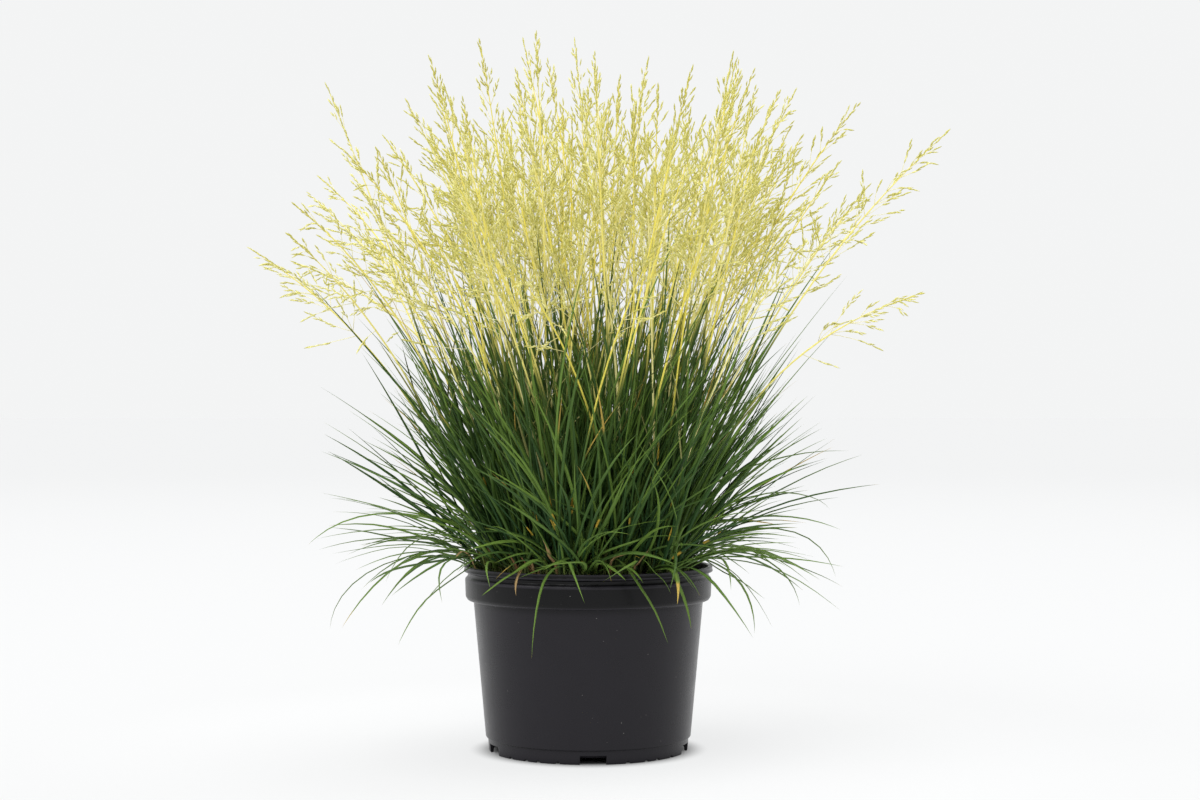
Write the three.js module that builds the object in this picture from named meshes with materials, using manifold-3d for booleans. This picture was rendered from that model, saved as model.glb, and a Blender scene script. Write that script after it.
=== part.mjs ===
// A clump of fescue grass in a black nursery pot, in millimetres, +Z up.
// The origin is the centre of the pot's foot, on the surface that the pot stands on.
// The pot is a turned shell with drain notches, filled with soil. Nineteen clumps of grass stand in
// plain holes in the soil. Each clump is a base from whose top a ring of leaf blades is raised. In the
// middle of the base stands a stock that carries four flowering stems, each with a branched head.
// Blades, stems and sprays are three-sided. Each is redrawn until it stays clear of all the others.
// A blade or stem first rises upright in a short sheath, and then follows its own curve.
import * as THREE from "three";
import { mergeVertices } from "three/addons/utils/BufferGeometryUtils.js";
import Module from "manifold-3d";

// Pot
const POT_SIDES = 36;
const POT_HEIGHT = 140;
const LIP_RADIUS = 95;
const COLLAR_RADIUS = 93.8;
const COLLAR_BOTTOM = 114;
const BODY_TOP_RADIUS = 87.4;
const BODY_BOTTOM_RADIUS = 78;
const FOOT_RADIUS = 76.4;
const FOOT_HEIGHT = 10.2;
const FOOT_WALL = 3.2;
const WALL = 1.6;
const INNER_COLLAR = COLLAR_RADIUS - WALL - 1;
const FLOOR_BOTTOM = 3.6;
const FLOOR_TOP = 5.6;
const NOTCHES = 5;
const NOTCH_WIDTH = 19.5;
const NOTCH_HEIGHT = 6.6;
const NOTCH_DEPTH = 12;
const NOTCH_TURN = -87; // degrees from +X to the notch nearest the front
const NICK_WIDTH = 3.8;
const NICK_HEIGHT = 2;
const NICK_OFFSETS = [20, 32, 40, 52]; // degrees on from each notch

// Soil
const GAP = 0.3;
const SOIL_SIDES = 18;
const SOIL_EDGE = 126;
const SOIL_CENTRE = 129.5;
const HOLE_SIDES = 6;

// Clumps
const CLUMPS = 19;
const CLUMP_SPREAD = 77;
const GOLDEN_ANGLE = Math.PI * (3 - Math.sqrt(5));
const BASE_BOTTOM = 119;
const BASE_TOP = 136;
const BASE_RADIUS = 8.8;
const BASE_HOLE = 5;
const STOCK_RADIUS = 4.4;
const STOCK_HUB = 1.2;
const SHEATH = 6; // how far each strand rises upright from its root before it leans

// Leaf blades
const LEAVES = 13;
const LEAF_ROOT_RADIUS = (BASE_RADIUS + 2 * BASE_HOLE) / 3;
const LEAF_ROOT_REACH = 1.25;
const LEAF_FOLD = 0.42; // depth of the fold as a share of the width
const LEAF_THINNEST = 0.65;
const LEAF_RINGS = [0, 0.38, 0.72];
const STRAIGHT_LEAF_RINGS = [0, 0.5];
const STRAIGHT_BEND = 24; // degrees
const HANGING_SHARE = 0.75; // clumps further out than this have blades that hang over the rim
const HANGING_PLACES = [0, LEAVES - 1];

// Flowering stems and their heads
const STEMS = 4;
const STOCK_SIDES = 2 * STEMS;
const STEM_ROOT_RADIUS = (STOCK_HUB + 2 * STOCK_RADIUS) / 3;
const STEM_ROOT_REACH = 1.6;
const STEM_RADIUS = 0.85;
const STEM_RINGS = [0, 0.36];
const RACHIS_RADIUS = 0.62;
const NODES = [0.66, 0.77, 0.875];
const NODE_LENGTH = 2.2;
const NODE_SPRAYS = [3, 3, 2];
const TIP_RING = 0.958;
const TIP_RADIUS = 1.1;
const SPRAY_RADIUS = 1.15;
const SPRAY_RING = 0.58;
const WHORL_SPREAD = 4.6; // between the middles of two sprays that start at one node

const CLEARANCE = 0.4;
const TRIES = 60;
const SEED = 5373;
const DEGREE = Math.PI / 180;

const wasm = await Module();
wasm.setup();

// A repeatable number from 0 to 1 for each list of whole-number keys.
function draw(...keys) {
  let h = SEED;
  for (const key of keys) {
    h = Math.imul(h ^ key, 0x9e3779b1);
    h ^= h >>> 16;
    h = Math.imul(h, 0x85ebca6b);
    h ^= h >>> 13;
  }
  return (h >>> 0) / 4294967296;
}

const mix = (a, b, t) => a + (b - a) * t;

// The unit vector that leans from upright by an angle, towards an azimuth.
function leaning(lean, azimuth) {
  return new THREE.Vector3(
    Math.sin(lean) * Math.cos(azimuth),
    Math.sin(lean) * Math.sin(azimuth),
    Math.cos(lean),
  );
}

// The place where a strand leaves its upright sheath.
function sheathed(root) {
  return root.clone().add(new THREE.Vector3(0, 0, SHEATH));
}

// The width of a blade along its length, as a share of its greatest width.
function bladeShape(t) {
  return 0.78 + 1.2 * t - 1.7 * t * t;
}

// A curve that sets off in one direction and ends in another.
function bow(root, first, firstLength, second, secondLength) {
  const middle = root.clone().addScaledVector(first, firstLength);
  const tip = middle.clone().addScaledVector(second, secondLength);
  return new THREE.QuadraticBezierCurve3(root, middle, tip);
}

// The two directions across a curve at t: the side direction made square to the curve, and the other.
function acrossCurve(curve, side, t) {
  const along = curve.getTangent(t);
  const across = side.clone().addScaledVector(along, -side.dot(along)).normalize();
  return { across, facing: along.clone().cross(across), along };
}

// What is already planted: straight stretches of strands and bases, each with its radius.
const planted = [];

// The straight stretches of a strand, from its root through its rings to its tip.
function stretches({ root, reach, curve, rings }, labels) {
  const ends = [...rings, [1, 0]].map(([t, radius]) => ({ point: curve.getPoint(t), radius }));
  ends.unshift({ point: root, radius: reach });
  return ends.slice(1).map((end, order) => ({
    start: ends[order].point,
    end: end.point,
    radii: [ends[order].radius, end.radius],
    order,
    ...labels,
  }));
}

// The width of the gap between two straight stretches, where their centre lines are nearest.
function gapBetween(p, q) {
  const d1 = p.end.clone().sub(p.start);
  const d2 = q.end.clone().sub(q.start);
  const r = p.start.clone().sub(q.start);
  const a = d1.dot(d1);
  const b = d1.dot(d2);
  const c = d1.dot(r);
  const e = d2.dot(d2);
  const f = d2.dot(r);
  const flat = a * e - b * b;
  let s = flat > 1e-9 ? THREE.MathUtils.clamp((b * f - c * e) / flat, 0, 1) : 0;
  const t = THREE.MathUtils.clamp((b * s + f) / e, 0, 1);
  s = THREE.MathUtils.clamp((b * t - c) / a, 0, 1);
  const nearest = r.addScaledVector(d1, s).addScaledVector(d2, -t).length();
  return nearest - mix(p.radii[0], p.radii[1], s) - mix(q.radii[0], q.radii[1], t);
}

// The upright sheaths of one clump stand side by side on its base. A spray's first stretch touches the
// stem that carries it, and those of its whorl that spread well away from it.
function mayTouch(p, q) {
  if (p.order) return false;
  if (p.clump) return q.clump === p.clump && !q.order;
  if (q.strand === p.carrier) return true;
  return q.whorl === p.whorl && !q.order && p.end.distanceTo(q.end) > WHORL_SPREAD;
}

function isClear(fresh) {
  return fresh.every((p) => planted.every((q) => mayTouch(p, q) || gapBetween(p, q) > CLEARANCE));
}

// True where a stretch stays over the soil, over the rim or outside the pot.
function clearsPot({ start, end, radii }) {
  const reach = Math.max(...radii) + CLEARANCE;
  return Array.from({ length: 13 }, (_, i) => start.clone().lerp(end, i / 12)).every((point) => {
    const out = Math.hypot(point.x, point.y);
    if (point.z > POT_HEIGHT + reach || out > LIP_RADIUS + reach) return true;
    return out < INNER_COLLAR - reach && point.z > BASE_TOP - reach;
  });
}

// Draws a strand until it is clear of everything planted, and plants it. Gives nothing if no try is.
function plant(drawStrand, labels) {
  for (let attempt = 0; attempt < TRIES; attempt++) {
    const strand = drawStrand(attempt);
    const fresh = stretches(strand, labels);
    if (!fresh.every(clearsPot) || !isClear(fresh)) continue;
    planted.push(...fresh);
    return [strand];
  }
  return [];
}

const clumps = Array.from({ length: CLUMPS }, (_, index) => {
  const share = Math.sqrt((index + 0.5) / CLUMPS);
  const azimuth = index * GOLDEN_ANGLE;
  const x = CLUMP_SPREAD * share * Math.cos(azimuth);
  const y = CLUMP_SPREAD * share * Math.sin(azimuth);
  const start = new THREE.Vector3(x, y, BASE_BOTTOM);
  const end = new THREE.Vector3(x, y, BASE_TOP - BASE_RADIUS);
  planted.push({ start, end, radii: [BASE_RADIUS, BASE_RADIUS], clump: index + 1, order: 0 });
  return { number: index + 1, share, azimuth, x, y };
});

// A flowering stem leans outwards with its clump.
function stemStrand(clump, place, attempt) {
  const roll = (channel) => draw(1, clump.number, place, attempt, channel);
  const outward = clump.share;
  const spot = clump.azimuth + (place / STEMS) * 2 * Math.PI;
  const azimuth = clump.azimuth + (2 * roll(0) - 1) * Math.PI * mix(1, 0.3, outward);
  const lean = (1.5 + (4 + 19 * outward) * roll(1) ** 0.7) * DEGREE;
  const bend = (3 + 42 * outward * roll(2) ** 1.4) * DEGREE;
  const length = mix(412, 290, roll(3) ** 1.1) * mix(1.02, 0.95, outward);
  const turn = (2 * roll(4) - 1) * 0.25;
  const root = new THREE.Vector3(
    clump.x + STEM_ROOT_RADIUS * Math.cos(spot),
    clump.y + STEM_ROOT_RADIUS * Math.sin(spot),
    BASE_TOP,
  );
  const first = leaning(lean, azimuth);
  const second = leaning(lean + bend, azimuth + turn);
  const curve = bow(sheathed(root), first, length * 0.55, second, length * 0.45);
  const side = new THREE.Vector3(-Math.cos(spot), -Math.sin(spot), 0);
  const nodeRings = NODES.flatMap((t) => [t, t + NODE_LENGTH / length]).map((t) => [t, RACHIS_RADIUS]);
  const stemRings = STEM_RINGS.map((t) => [t, STEM_RADIUS]);
  const rings = [...stemRings, ...nodeRings, [TIP_RING, TIP_RADIUS]];
  return { root, reach: STEM_ROOT_REACH, curve, side, rings, place };
}

// A side spray of a flower head: long and open at the bottom of the head, short and upright at its top.
function sprayStrand(stem, node, face, attempt) {
  const roll = (channel) => draw(2, stem.number, node * 3 + face, attempt, channel);
  const height = node / (NODES.length - 1);
  const t = NODES[node];
  const { across, facing, along } = acrossCurve(stem.curve, stem.side, t);
  const turn = (60 + 120 * face + 56 * (roll(0) - 0.5)) * DEGREE;
  const out = across.multiplyScalar(Math.cos(turn)).addScaledVector(facing, Math.sin(turn));
  const open = mix(50, 30, height) * mix(0.75, 1.2, roll(1)) * DEGREE;
  const length = mix(40, 20, height) * mix(0.8, 1.2, roll(2));
  const rise = open * mix(0.45, 0.95, roll(3));
  const first = along.clone().multiplyScalar(Math.cos(open)).addScaledVector(out, Math.sin(open));
  const second = along.clone().multiplyScalar(Math.cos(rise)).addScaledVector(out, Math.sin(rise));
  const root = stem.curve.getPoint(t);
  const curve = bow(root, first, length * 0.5, second, length * 0.5);
  return { root, reach: RACHIS_RADIUS, curve, rings: [[SPRAY_RING, SPRAY_RADIUS]], node, face };
}

// A leaf blade: upright in the middle of the plant, more open and shorter towards its edge.
function leafStrand(clump, place, attempt) {
  const roll = (channel) => draw(3, clump.number, place, attempt, channel);
  const spot = clump.azimuth + ((place + 0.5) / LEAVES) * 2 * Math.PI;
  const facing = Math.max(0, Math.cos(spot - clump.azimuth));
  const open = mix(0.2, 1, clump.share) * mix(0.5, 1, facing) * roll(1) ** 0.45;
  const hangs = HANGING_PLACES.includes(place) && clump.share > HANGING_SHARE;
  const spread = hangs ? mix(46, 64, roll(5)) : 58 * open;
  const splay = mix(3, 10, roll(5));
  const x = spread * Math.cos(clump.azimuth) + splay * Math.cos(spot);
  const y = spread * Math.sin(clump.azimuth) + splay * Math.sin(spot);
  const lean = Math.hypot(x, y);
  const azimuth = Math.atan2(y, x) + (roll(0) - 0.5) * 0.5;
  const bend = hangs ? mix(14, 84, roll(2)) : 6 + 12 * roll(2) + 40 * open * open;
  const length = hangs ? mix(112, 162, roll(3)) : mix(212, 134, open) * mix(0.78, 1.06, roll(3));
  const turn = (2 * roll(4) - 1) * 0.5;
  const width = mix(2, 3.2, roll(6));
  const root = new THREE.Vector3(
    clump.x + LEAF_ROOT_RADIUS * Math.cos(spot),
    clump.y + LEAF_ROOT_RADIUS * Math.sin(spot),
    BASE_TOP,
  );
  const first = leaning(lean * DEGREE, azimuth);
  const second = leaning((lean + bend) * DEGREE, azimuth + turn);
  const curve = bow(sheathed(root), first, length * 0.43, second, length * 0.57);
  const side = new THREE.Vector3(-Math.sin(spot), Math.cos(spot), 0);
  const places = bend < STRAIGHT_BEND ? STRAIGHT_LEAF_RINGS : LEAF_RINGS;
  const rings = places.map((t) => [t, (width / 2) * bladeShape(t)]);
  return { root, reach: LEAF_ROOT_REACH, curve, side, rings, place };
}

function plantStems(clump) {
  return Array.from({ length: STEMS }, (_, place) => {
    const number = clump.number * STEMS + place;
    const labels = { clump: clump.number, strand: number };
    const strands = plant((attempt) => stemStrand(clump, place, attempt), labels);
    return strands.map((stem) => ({ ...stem, number }));
  }).flat();
}

function plantSprays(stem) {
  return NODE_SPRAYS.flatMap((count, node) => {
    const labels = { carrier: stem.number, whorl: stem.number * NODES.length + node };
    return Array.from({ length: count }, (_, i) => {
      const face = (i + node + stem.number) % 3;
      return plant((attempt) => sprayStrand(stem, node, face, attempt), labels);
    }).flat();
  });
}

function plantLeaves(clump) {
  return Array.from({ length: LEAVES }, (_, place) =>
    plant((attempt) => leafStrand(clump, place, attempt), { clump: clump.number }),
  ).flat();
}

// A closed surface under construction: points, and faces that list three points each.
class Surface {
  points = [];
  faces = [];

  ring(points) {
    return points.map((point) => this.points.push(point) - 1);
  }

  // A strip of faces between two rings of the same length, the second one further along.
  strip(lower, upper) {
    lower.forEach((a, k) => {
      const next = (k + 1) % lower.length;
      this.faces.push([a, lower[next], upper[next]], [a, upper[next], upper[k]]);
    });
  }

  // Raises a three-sided strand from a face, through rings of three points, to a tip.
  // A sprout may take a face of a strip for a strand of its own.
  raise(face, rings, tip, sprout = () => false) {
    let lower = face;
    rings.forEach((points, level) => {
      const upper = this.ring(points);
      for (let k = 0; k < 3; k++) {
        const next = (k + 1) % 3;
        const first = [lower[k], lower[next], upper[next]];
        if (!sprout(level, k, first)) this.faces.push(first);
        this.faces.push([lower[k], upper[next], upper[k]]);
      }
      lower = upper;
    });
    const [end] = this.ring([tip]);
    for (let k = 0; k < 3; k++) this.faces.push([lower[k], lower[(k + 1) % 3], end]);
  }

  geometry() {
    const geometry = new THREE.BufferGeometry().setFromPoints(
      this.faces.flat().map((number) => this.points[number]),
    );
    geometry.computeVertexNormals();
    return geometry;
  }
}

function circle(x, y, z, radius, sides, start) {
  return Array.from({ length: sides }, (_, i) => {
    const turn = start + (i / sides) * 2 * Math.PI;
    return new THREE.Vector3(x + radius * Math.cos(turn), y + radius * Math.sin(turn), z);
  });
}

// Three points round a curve at t.
function threeSided(curve, side, t, radius) {
  const { across, facing } = acrossCurve(curve, side, t);
  return [0, 120, 240].map((turn) =>
    curve
      .getPoint(t)
      .addScaledVector(across, radius * Math.cos(turn * DEGREE))
      .addScaledVector(facing, radius * Math.sin(turn * DEGREE)),
  );
}

// The folded section of a blade: one edge, the fold on its lower side, and the other edge.
function folded(curve, side, t, reach) {
  const { across, facing } = acrossCurve(curve, side, t);
  const deep = Math.max(2 * reach * LEAF_FOLD, LEAF_THINNEST);
  return [[-reach, deep / 3], [0, (-2 * deep) / 3], [reach, deep / 3]].map(([u, v]) =>
    curve.getPoint(t).addScaledVector(across, u).addScaledVector(facing, v),
  );
}

// A ring-shaped base, with a blade raised from its top wherever one was planted.
function leafSurface(clump) {
  const { x, y, azimuth } = clump;
  const surface = new Surface();
  const half = Math.PI / LEAVES;
  const ringAt = (z, radius, turn) => surface.ring(circle(x, y, z, radius, LEAVES, azimuth + turn));
  const outerBottom = ringAt(BASE_BOTTOM, BASE_RADIUS, half);
  const outerTop = ringAt(BASE_TOP, BASE_RADIUS, half);
  const innerTop = ringAt(BASE_TOP, BASE_HOLE, 0);
  const innerBottom = ringAt(BASE_BOTTOM, BASE_HOLE, 0);
  surface.strip(outerBottom, outerTop);
  surface.strip(innerTop, innerBottom);
  for (let k = 0; k < LEAVES; k++) {
    const next = (k + 1) % LEAVES;
    surface.faces.push([innerTop[next], outerTop[k], outerTop[next]]);
    surface.faces.push([innerBottom[k], innerBottom[next], outerBottom[k]]);
    surface.faces.push([innerBottom[next], outerBottom[next], outerBottom[k]]);
    const root = [innerTop[k], outerTop[k], innerTop[next]];
    const leaf = clump.leaves.find(({ place }) => place === k);
    if (leaf) raiseLeaf(surface, root, leaf);
    else surface.faces.push(root);
  }
  return surface;
}

function raiseLeaf(surface, root, { curve, side, rings }) {
  surface.raise(root, rings.map(([t, reach]) => folded(curve, side, t, reach)), curve.getPoint(1));
}

// A stock whose top carries the flowering stems in a ring round a hub.
function flowerSurface(clump) {
  const { x, y, azimuth } = clump;
  const surface = new Surface();
  const start = azimuth - Math.PI / STOCK_SIDES;
  const bottom = surface.ring(circle(x, y, BASE_BOTTOM, STOCK_RADIUS, STOCK_SIDES, start));
  const top = surface.ring(circle(x, y, BASE_TOP, STOCK_RADIUS, STOCK_SIDES, start));
  const hub = surface.ring(circle(x, y, BASE_TOP, STOCK_HUB, STEMS, azimuth));
  surface.strip(bottom, top);
  for (let k = 1; k < STOCK_SIDES - 1; k++) surface.faces.push([bottom[0], bottom[k + 1], bottom[k]]);
  for (let k = 1; k < STEMS - 1; k++) surface.faces.push([hub[0], hub[k], hub[k + 1]]);
  for (let k = 0; k < STEMS; k++) {
    const [left, right, after] = [2 * k, 2 * k + 1, (2 * k + 2) % STOCK_SIDES].map((i) => top[i]);
    const nextHub = hub[(k + 1) % STEMS];
    surface.faces.push([hub[k], right, nextHub], [right, after, nextHub]);
    const stem = clump.stems.find(({ place }) => place === k);
    if (stem) raiseStem(surface, [hub[k], left, right], stem);
    else surface.faces.push([hub[k], left, right]);
  }
  return surface;
}

// A stem with a pair of rings at each node, between which its sprays are raised.
function raiseStem(surface, root, { curve, side, rings, sprays }) {
  const sections = rings.map(([t, radius]) => threeSided(curve, side, t, radius));
  surface.raise(root, sections, curve.getPoint(1), (level, face, corners) => {
    const spray = sprays.find((s) => level === STEM_RINGS.length + 2 * s.node + 1 && face === s.face);
    if (spray) raiseSpray(surface, corners, spray);
    return Boolean(spray);
  });
}

function raiseSpray(surface, corners, { curve }) {
  const [a, b, c] = corners.map((number) => surface.points[number]);
  const side = a.clone().sub(b.clone().add(c).multiplyScalar(0.5));
  const ring = threeSided(curve, side, SPRAY_RING, SPRAY_RADIUS);
  surface.raise(corners, [ring], curve.getPoint(1));
}

// A closed mesh as a solid for cutting.
function solidOf(geometry) {
  const loose = geometry.index ? geometry.toNonIndexed() : geometry;
  const bare = new THREE.BufferGeometry().setAttribute("position", loose.getAttribute("position"));
  const merged = mergeVertices(bare, 1e-4);
  const corners = merged.index.array;
  const kept = [];
  for (let i = 0; i < corners.length; i += 3) {
    const [a, b, c] = corners.subarray(i, i + 3);
    if (a !== b && b !== c && c !== a) kept.push(a, b, c);
  }
  const mesh = { numProp: 3, vertProperties: merged.attributes.position.array };
  return new wasm.Manifold(new wasm.Mesh({ ...mesh, triVerts: new Uint32Array(kept) }));
}

// A solid as a flat-shaded geometry.
function geometryOf(solid) {
  const mesh = solid.getMesh();
  const places = new Float32Array(mesh.numVert * 3);
  for (let i = 0; i < mesh.numVert; i++) {
    const start = i * mesh.numProp;
    places.set(mesh.vertProperties.subarray(start, start + 3), i * 3);
  }
  const geometry = new THREE.BufferGeometry()
    .setAttribute("position", new THREE.BufferAttribute(places, 3))
    .setIndex(new THREE.BufferAttribute(mesh.triVerts, 1))
    .toNonIndexed();
  geometry.computeVertexNormals();
  return geometry;
}

function turned(profile, sides) {
  const points = profile.map(([radius, height]) => new THREE.Vector2(radius, height));
  return new THREE.LatheGeometry(points, sides).rotateX(Math.PI / 2);
}

// Pot: a foot with the floor raised inside it, a tapered body, a collar, a groove and a lip.
function potSolid() {
  const profile = [
    [0, FLOOR_BOTTOM],
    [FOOT_RADIUS - FOOT_WALL, FLOOR_BOTTOM],
    [FOOT_RADIUS - FOOT_WALL, 0],
    [FOOT_RADIUS - 0.8, 0],
    [FOOT_RADIUS, FOOT_HEIGHT],
    [BODY_BOTTOM_RADIUS, FOOT_HEIGHT + 0.5],
    [BODY_TOP_RADIUS, COLLAR_BOTTOM],
    [COLLAR_RADIUS - 2, COLLAR_BOTTOM + 0.4],
    [COLLAR_RADIUS - 0.4, COLLAR_BOTTOM + 3],
    [COLLAR_RADIUS, COLLAR_BOTTOM + 16],
    [COLLAR_RADIUS - 1, COLLAR_BOTTOM + 17.6],
    [COLLAR_RADIUS - 1, COLLAR_BOTTOM + 20.6],
    [LIP_RADIUS, COLLAR_BOTTOM + 21.6],
    [LIP_RADIUS - 0.6, POT_HEIGHT],
    [INNER_COLLAR, POT_HEIGHT],
    [INNER_COLLAR, COLLAR_BOTTOM + WALL + 1],
    [BODY_TOP_RADIUS - WALL, COLLAR_BOTTOM + WALL],
    [BODY_BOTTOM_RADIUS - WALL - 0.4, FLOOR_TOP],
    [0, FLOOR_TOP],
  ];
  let pot = solidOf(turned(profile, POT_SIDES));
  for (let i = 0; i < NOTCHES; i++) {
    const start = NOTCH_TURN + (i * 360) / NOTCHES;
    const notch = new THREE.BoxGeometry(2 * NOTCH_DEPTH, NOTCH_WIDTH, 2 * NOTCH_HEIGHT)
      .translate(FOOT_RADIUS, 0, 0)
      .rotateZ(start * DEGREE);
    pot = pot.subtract(solidOf(notch));
    for (const offset of NICK_OFFSETS) {
      const nick = new THREE.CylinderGeometry(1, 1, 2 * FOOT_WALL + 2, 4)
        .rotateZ(Math.PI / 2)
        .scale(1, NICK_WIDTH / 2, NICK_HEIGHT)
        .translate(FOOT_RADIUS - FOOT_WALL / 2, 0, 0)
        .rotateZ((start + offset) * DEGREE);
      pot = pot.subtract(solidOf(nick));
    }
  }
  return pot;
}

// Soil: fills the pot up to the collar, with a plain hole for each clump.
function soilSolid() {
  const wall = WALL + GAP;
  const outerCollar = COLLAR_RADIUS - wall - 1;
  const profile = [
    [0, FLOOR_TOP + GAP],
    [BODY_BOTTOM_RADIUS - wall - 0.4, FLOOR_TOP + GAP],
    [BODY_TOP_RADIUS - wall, COLLAR_BOTTOM + wall],
    [outerCollar, COLLAR_BOTTOM + wall + 1.2],
    [outerCollar, SOIL_EDGE],
    [CLUMP_SPREAD * 0.6, SOIL_CENTRE - 0.6],
    [0, SOIL_CENTRE],
  ];
  const reach = (BASE_RADIUS + GAP) / Math.cos(Math.PI / HOLE_SIDES);
  const depth = POT_HEIGHT - BASE_BOTTOM + GAP;
  return clumps.reduce((soil, { x, y }) => {
    const hole = new THREE.CylinderGeometry(reach, reach, depth, HOLE_SIDES)
      .rotateX(Math.PI / 2)
      .translate(x, y, POT_HEIGHT - depth / 2);
    return soil.subtract(solidOf(hole));
  }, solidOf(turned(profile, SOIL_SIDES)));
}

for (const clump of clumps) clump.stems = plantStems(clump);
for (const clump of clumps) for (const stem of clump.stems) stem.sprays = plantSprays(stem);
for (const clump of clumps) clump.leaves = plantLeaves(clump);

const root = new THREE.Group();

function addNode(name, geometry, color, roughness) {
  const material = new THREE.MeshStandardMaterial({ color, roughness, metalness: 0, flatShading: true });
  const mesh = new THREE.Mesh(geometry, material);
  mesh.name = name;
  root.add(mesh);
}

addNode("pot", geometryOf(potSolid()), 0x2b2b2f, 0.5);
addNode("soil", geometryOf(soilSolid()), 0x2a1f17, 0.95);
for (const clump of clumps) {
  const label = String(clump.number).padStart(2, "0");
  addNode("leaves_" + label, leafSurface(clump).geometry(), 0x2f6b35, 0.55);
  addNode("flower_stems_" + label, flowerSurface(clump).geometry(), 0xd8c860, 0.6);
}

export default root;
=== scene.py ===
"""Potted fescue grass: a dense clump of grass in flower, in a black nursery pot.

The pot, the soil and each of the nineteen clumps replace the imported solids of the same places. The main
blades, stems and sprays of a clump follow the same growth rule as its solids. Many finer ones are added
between them. Lengths are in millimetres until a mesh is made.
"""

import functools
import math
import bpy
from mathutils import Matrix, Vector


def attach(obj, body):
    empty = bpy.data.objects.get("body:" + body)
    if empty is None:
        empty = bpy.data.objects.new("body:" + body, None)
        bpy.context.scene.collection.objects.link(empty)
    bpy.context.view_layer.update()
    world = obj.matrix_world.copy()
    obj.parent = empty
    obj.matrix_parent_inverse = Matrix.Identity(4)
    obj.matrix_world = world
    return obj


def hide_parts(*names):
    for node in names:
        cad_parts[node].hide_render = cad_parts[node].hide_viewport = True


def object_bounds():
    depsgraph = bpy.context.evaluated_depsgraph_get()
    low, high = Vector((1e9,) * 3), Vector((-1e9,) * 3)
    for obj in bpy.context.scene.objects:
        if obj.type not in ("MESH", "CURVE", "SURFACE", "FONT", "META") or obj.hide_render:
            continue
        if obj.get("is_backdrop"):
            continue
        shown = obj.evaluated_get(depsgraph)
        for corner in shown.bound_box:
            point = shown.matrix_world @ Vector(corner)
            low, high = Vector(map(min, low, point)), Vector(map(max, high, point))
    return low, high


bl_info = {
    "name": "Potted fescue grass",
    "version": (1, 0, 0),
    "blender": (4, 5, 0),
    "location": "View3D > Sidebar > Grass",
    "description": "Builds a potted clump of flowering fescue grass over its packed solids",
    "category": "Object",
}

from collections import namedtuple

import bpy
import numpy as np

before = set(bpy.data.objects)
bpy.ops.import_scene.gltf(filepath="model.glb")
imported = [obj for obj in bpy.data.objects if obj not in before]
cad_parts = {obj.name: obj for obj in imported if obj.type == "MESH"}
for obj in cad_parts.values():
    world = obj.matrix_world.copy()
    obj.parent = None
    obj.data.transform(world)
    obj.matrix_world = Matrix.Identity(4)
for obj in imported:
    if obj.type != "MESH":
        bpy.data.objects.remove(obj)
CAD_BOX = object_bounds()

MM = 0.001
DEGREE = math.pi / 180
TURN = 2 * math.pi
UP = np.array([0.0, 0.0, 1.0])

# Pot, as in the solids
POT_HEIGHT = 140.0
LIP_RADIUS = 95.0
COLLAR_RADIUS = 93.8
COLLAR_BOTTOM = 114.0
BODY_TOP_RADIUS = 87.4
BODY_BOTTOM_RADIUS = 78.0
FOOT_RADIUS = 76.4
FOOT_HEIGHT = 10.2
FOOT_WALL = 3.2
WALL = 1.6
INNER_COLLAR = COLLAR_RADIUS - WALL - 1
GROOVE_RADIUS = COLLAR_RADIUS - 2.1
FLOOR_BOTTOM = 3.6
FLOOR_TOP = 5.6
NOTCHES = 5
NOTCH_WIDTH = 19.5
NOTCH_HEIGHT = 6.6
NOTCH_DEPTH = 12.0
NOTCH_TURN = -87.0
NICK_WIDTH = 3.8
NICK_HEIGHT = 2.0
NICK_OFFSETS = (20, 32, 40, 52)
ROUNDING = 0.9
ROUNDING_STEPS = 4
UNDERSIDE_ROWS = 20  # rows of the rounded profile that a notch may raise under the pot

# Heights in metres, lowest and highest, of the pot's moulded edges that are painted lighter, as painted
# highlights
PAINTED_HIGHLIGHT_EDGES = ((0.1144, 0.1152), (0.1294, 0.1312), (0.1360, 0.1367), (0.1391, 0.1400))
PAINTED_HIGHLIGHT_SOFTNESS = 0.0004

# Soil
GAP = 0.3
SOIL_RADIUS = COLLAR_RADIUS - WALL - GAP - 1
SOIL_SIDES = 144
SOIL_ROWS = 40
SOIL_EDGE = 126.0
SOIL_CENTRE = 129.5
SOIL_MAP = 0.7  # share of the map's height for the soil itself; the crumbs have the rest
CRUMB_COLUMNS = 60
CRUMB_LENGTHS = (1.5, 7.0)
CRUMB_RADII = (0.6, 1.6)

# Clumps, as in the solids
CLUMPS = 19
CLUMP_SPREAD = 77.0
GOLDEN_ANGLE = math.pi * (3 - math.sqrt(5))
BASE_BOTTOM = 119.0
BASE_TOP = 136.0
BASE_RADIUS = 8.8
BASE_HOLE = 5.0
STOCK_RADIUS = 4.4
STOCK_HUB = 1.2
SHEATH = 6.0

# Main blades
LEAVES = 13
LEAF_ROOT_RADIUS = (BASE_RADIUS + 2 * BASE_HOLE) / 3
LEAF_ROOT_REACH = 1.25
LEAF_RINGS = (0.0, 0.38, 0.72)
STRAIGHT_LEAF_RINGS = (0.0, 0.5)
STRAIGHT_BEND = 24.0
HANGING_SHARE = 0.75
HANGING_PLACES = (0, LEAVES - 1)
LEAF_LENGTHS = (212.0, 134.0)  # of an upright blade and of a wide open one
HANGING_LENGTHS = (112.0, 162.0)
LEAF_WIDTHS = (2.0, 3.2)

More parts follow.
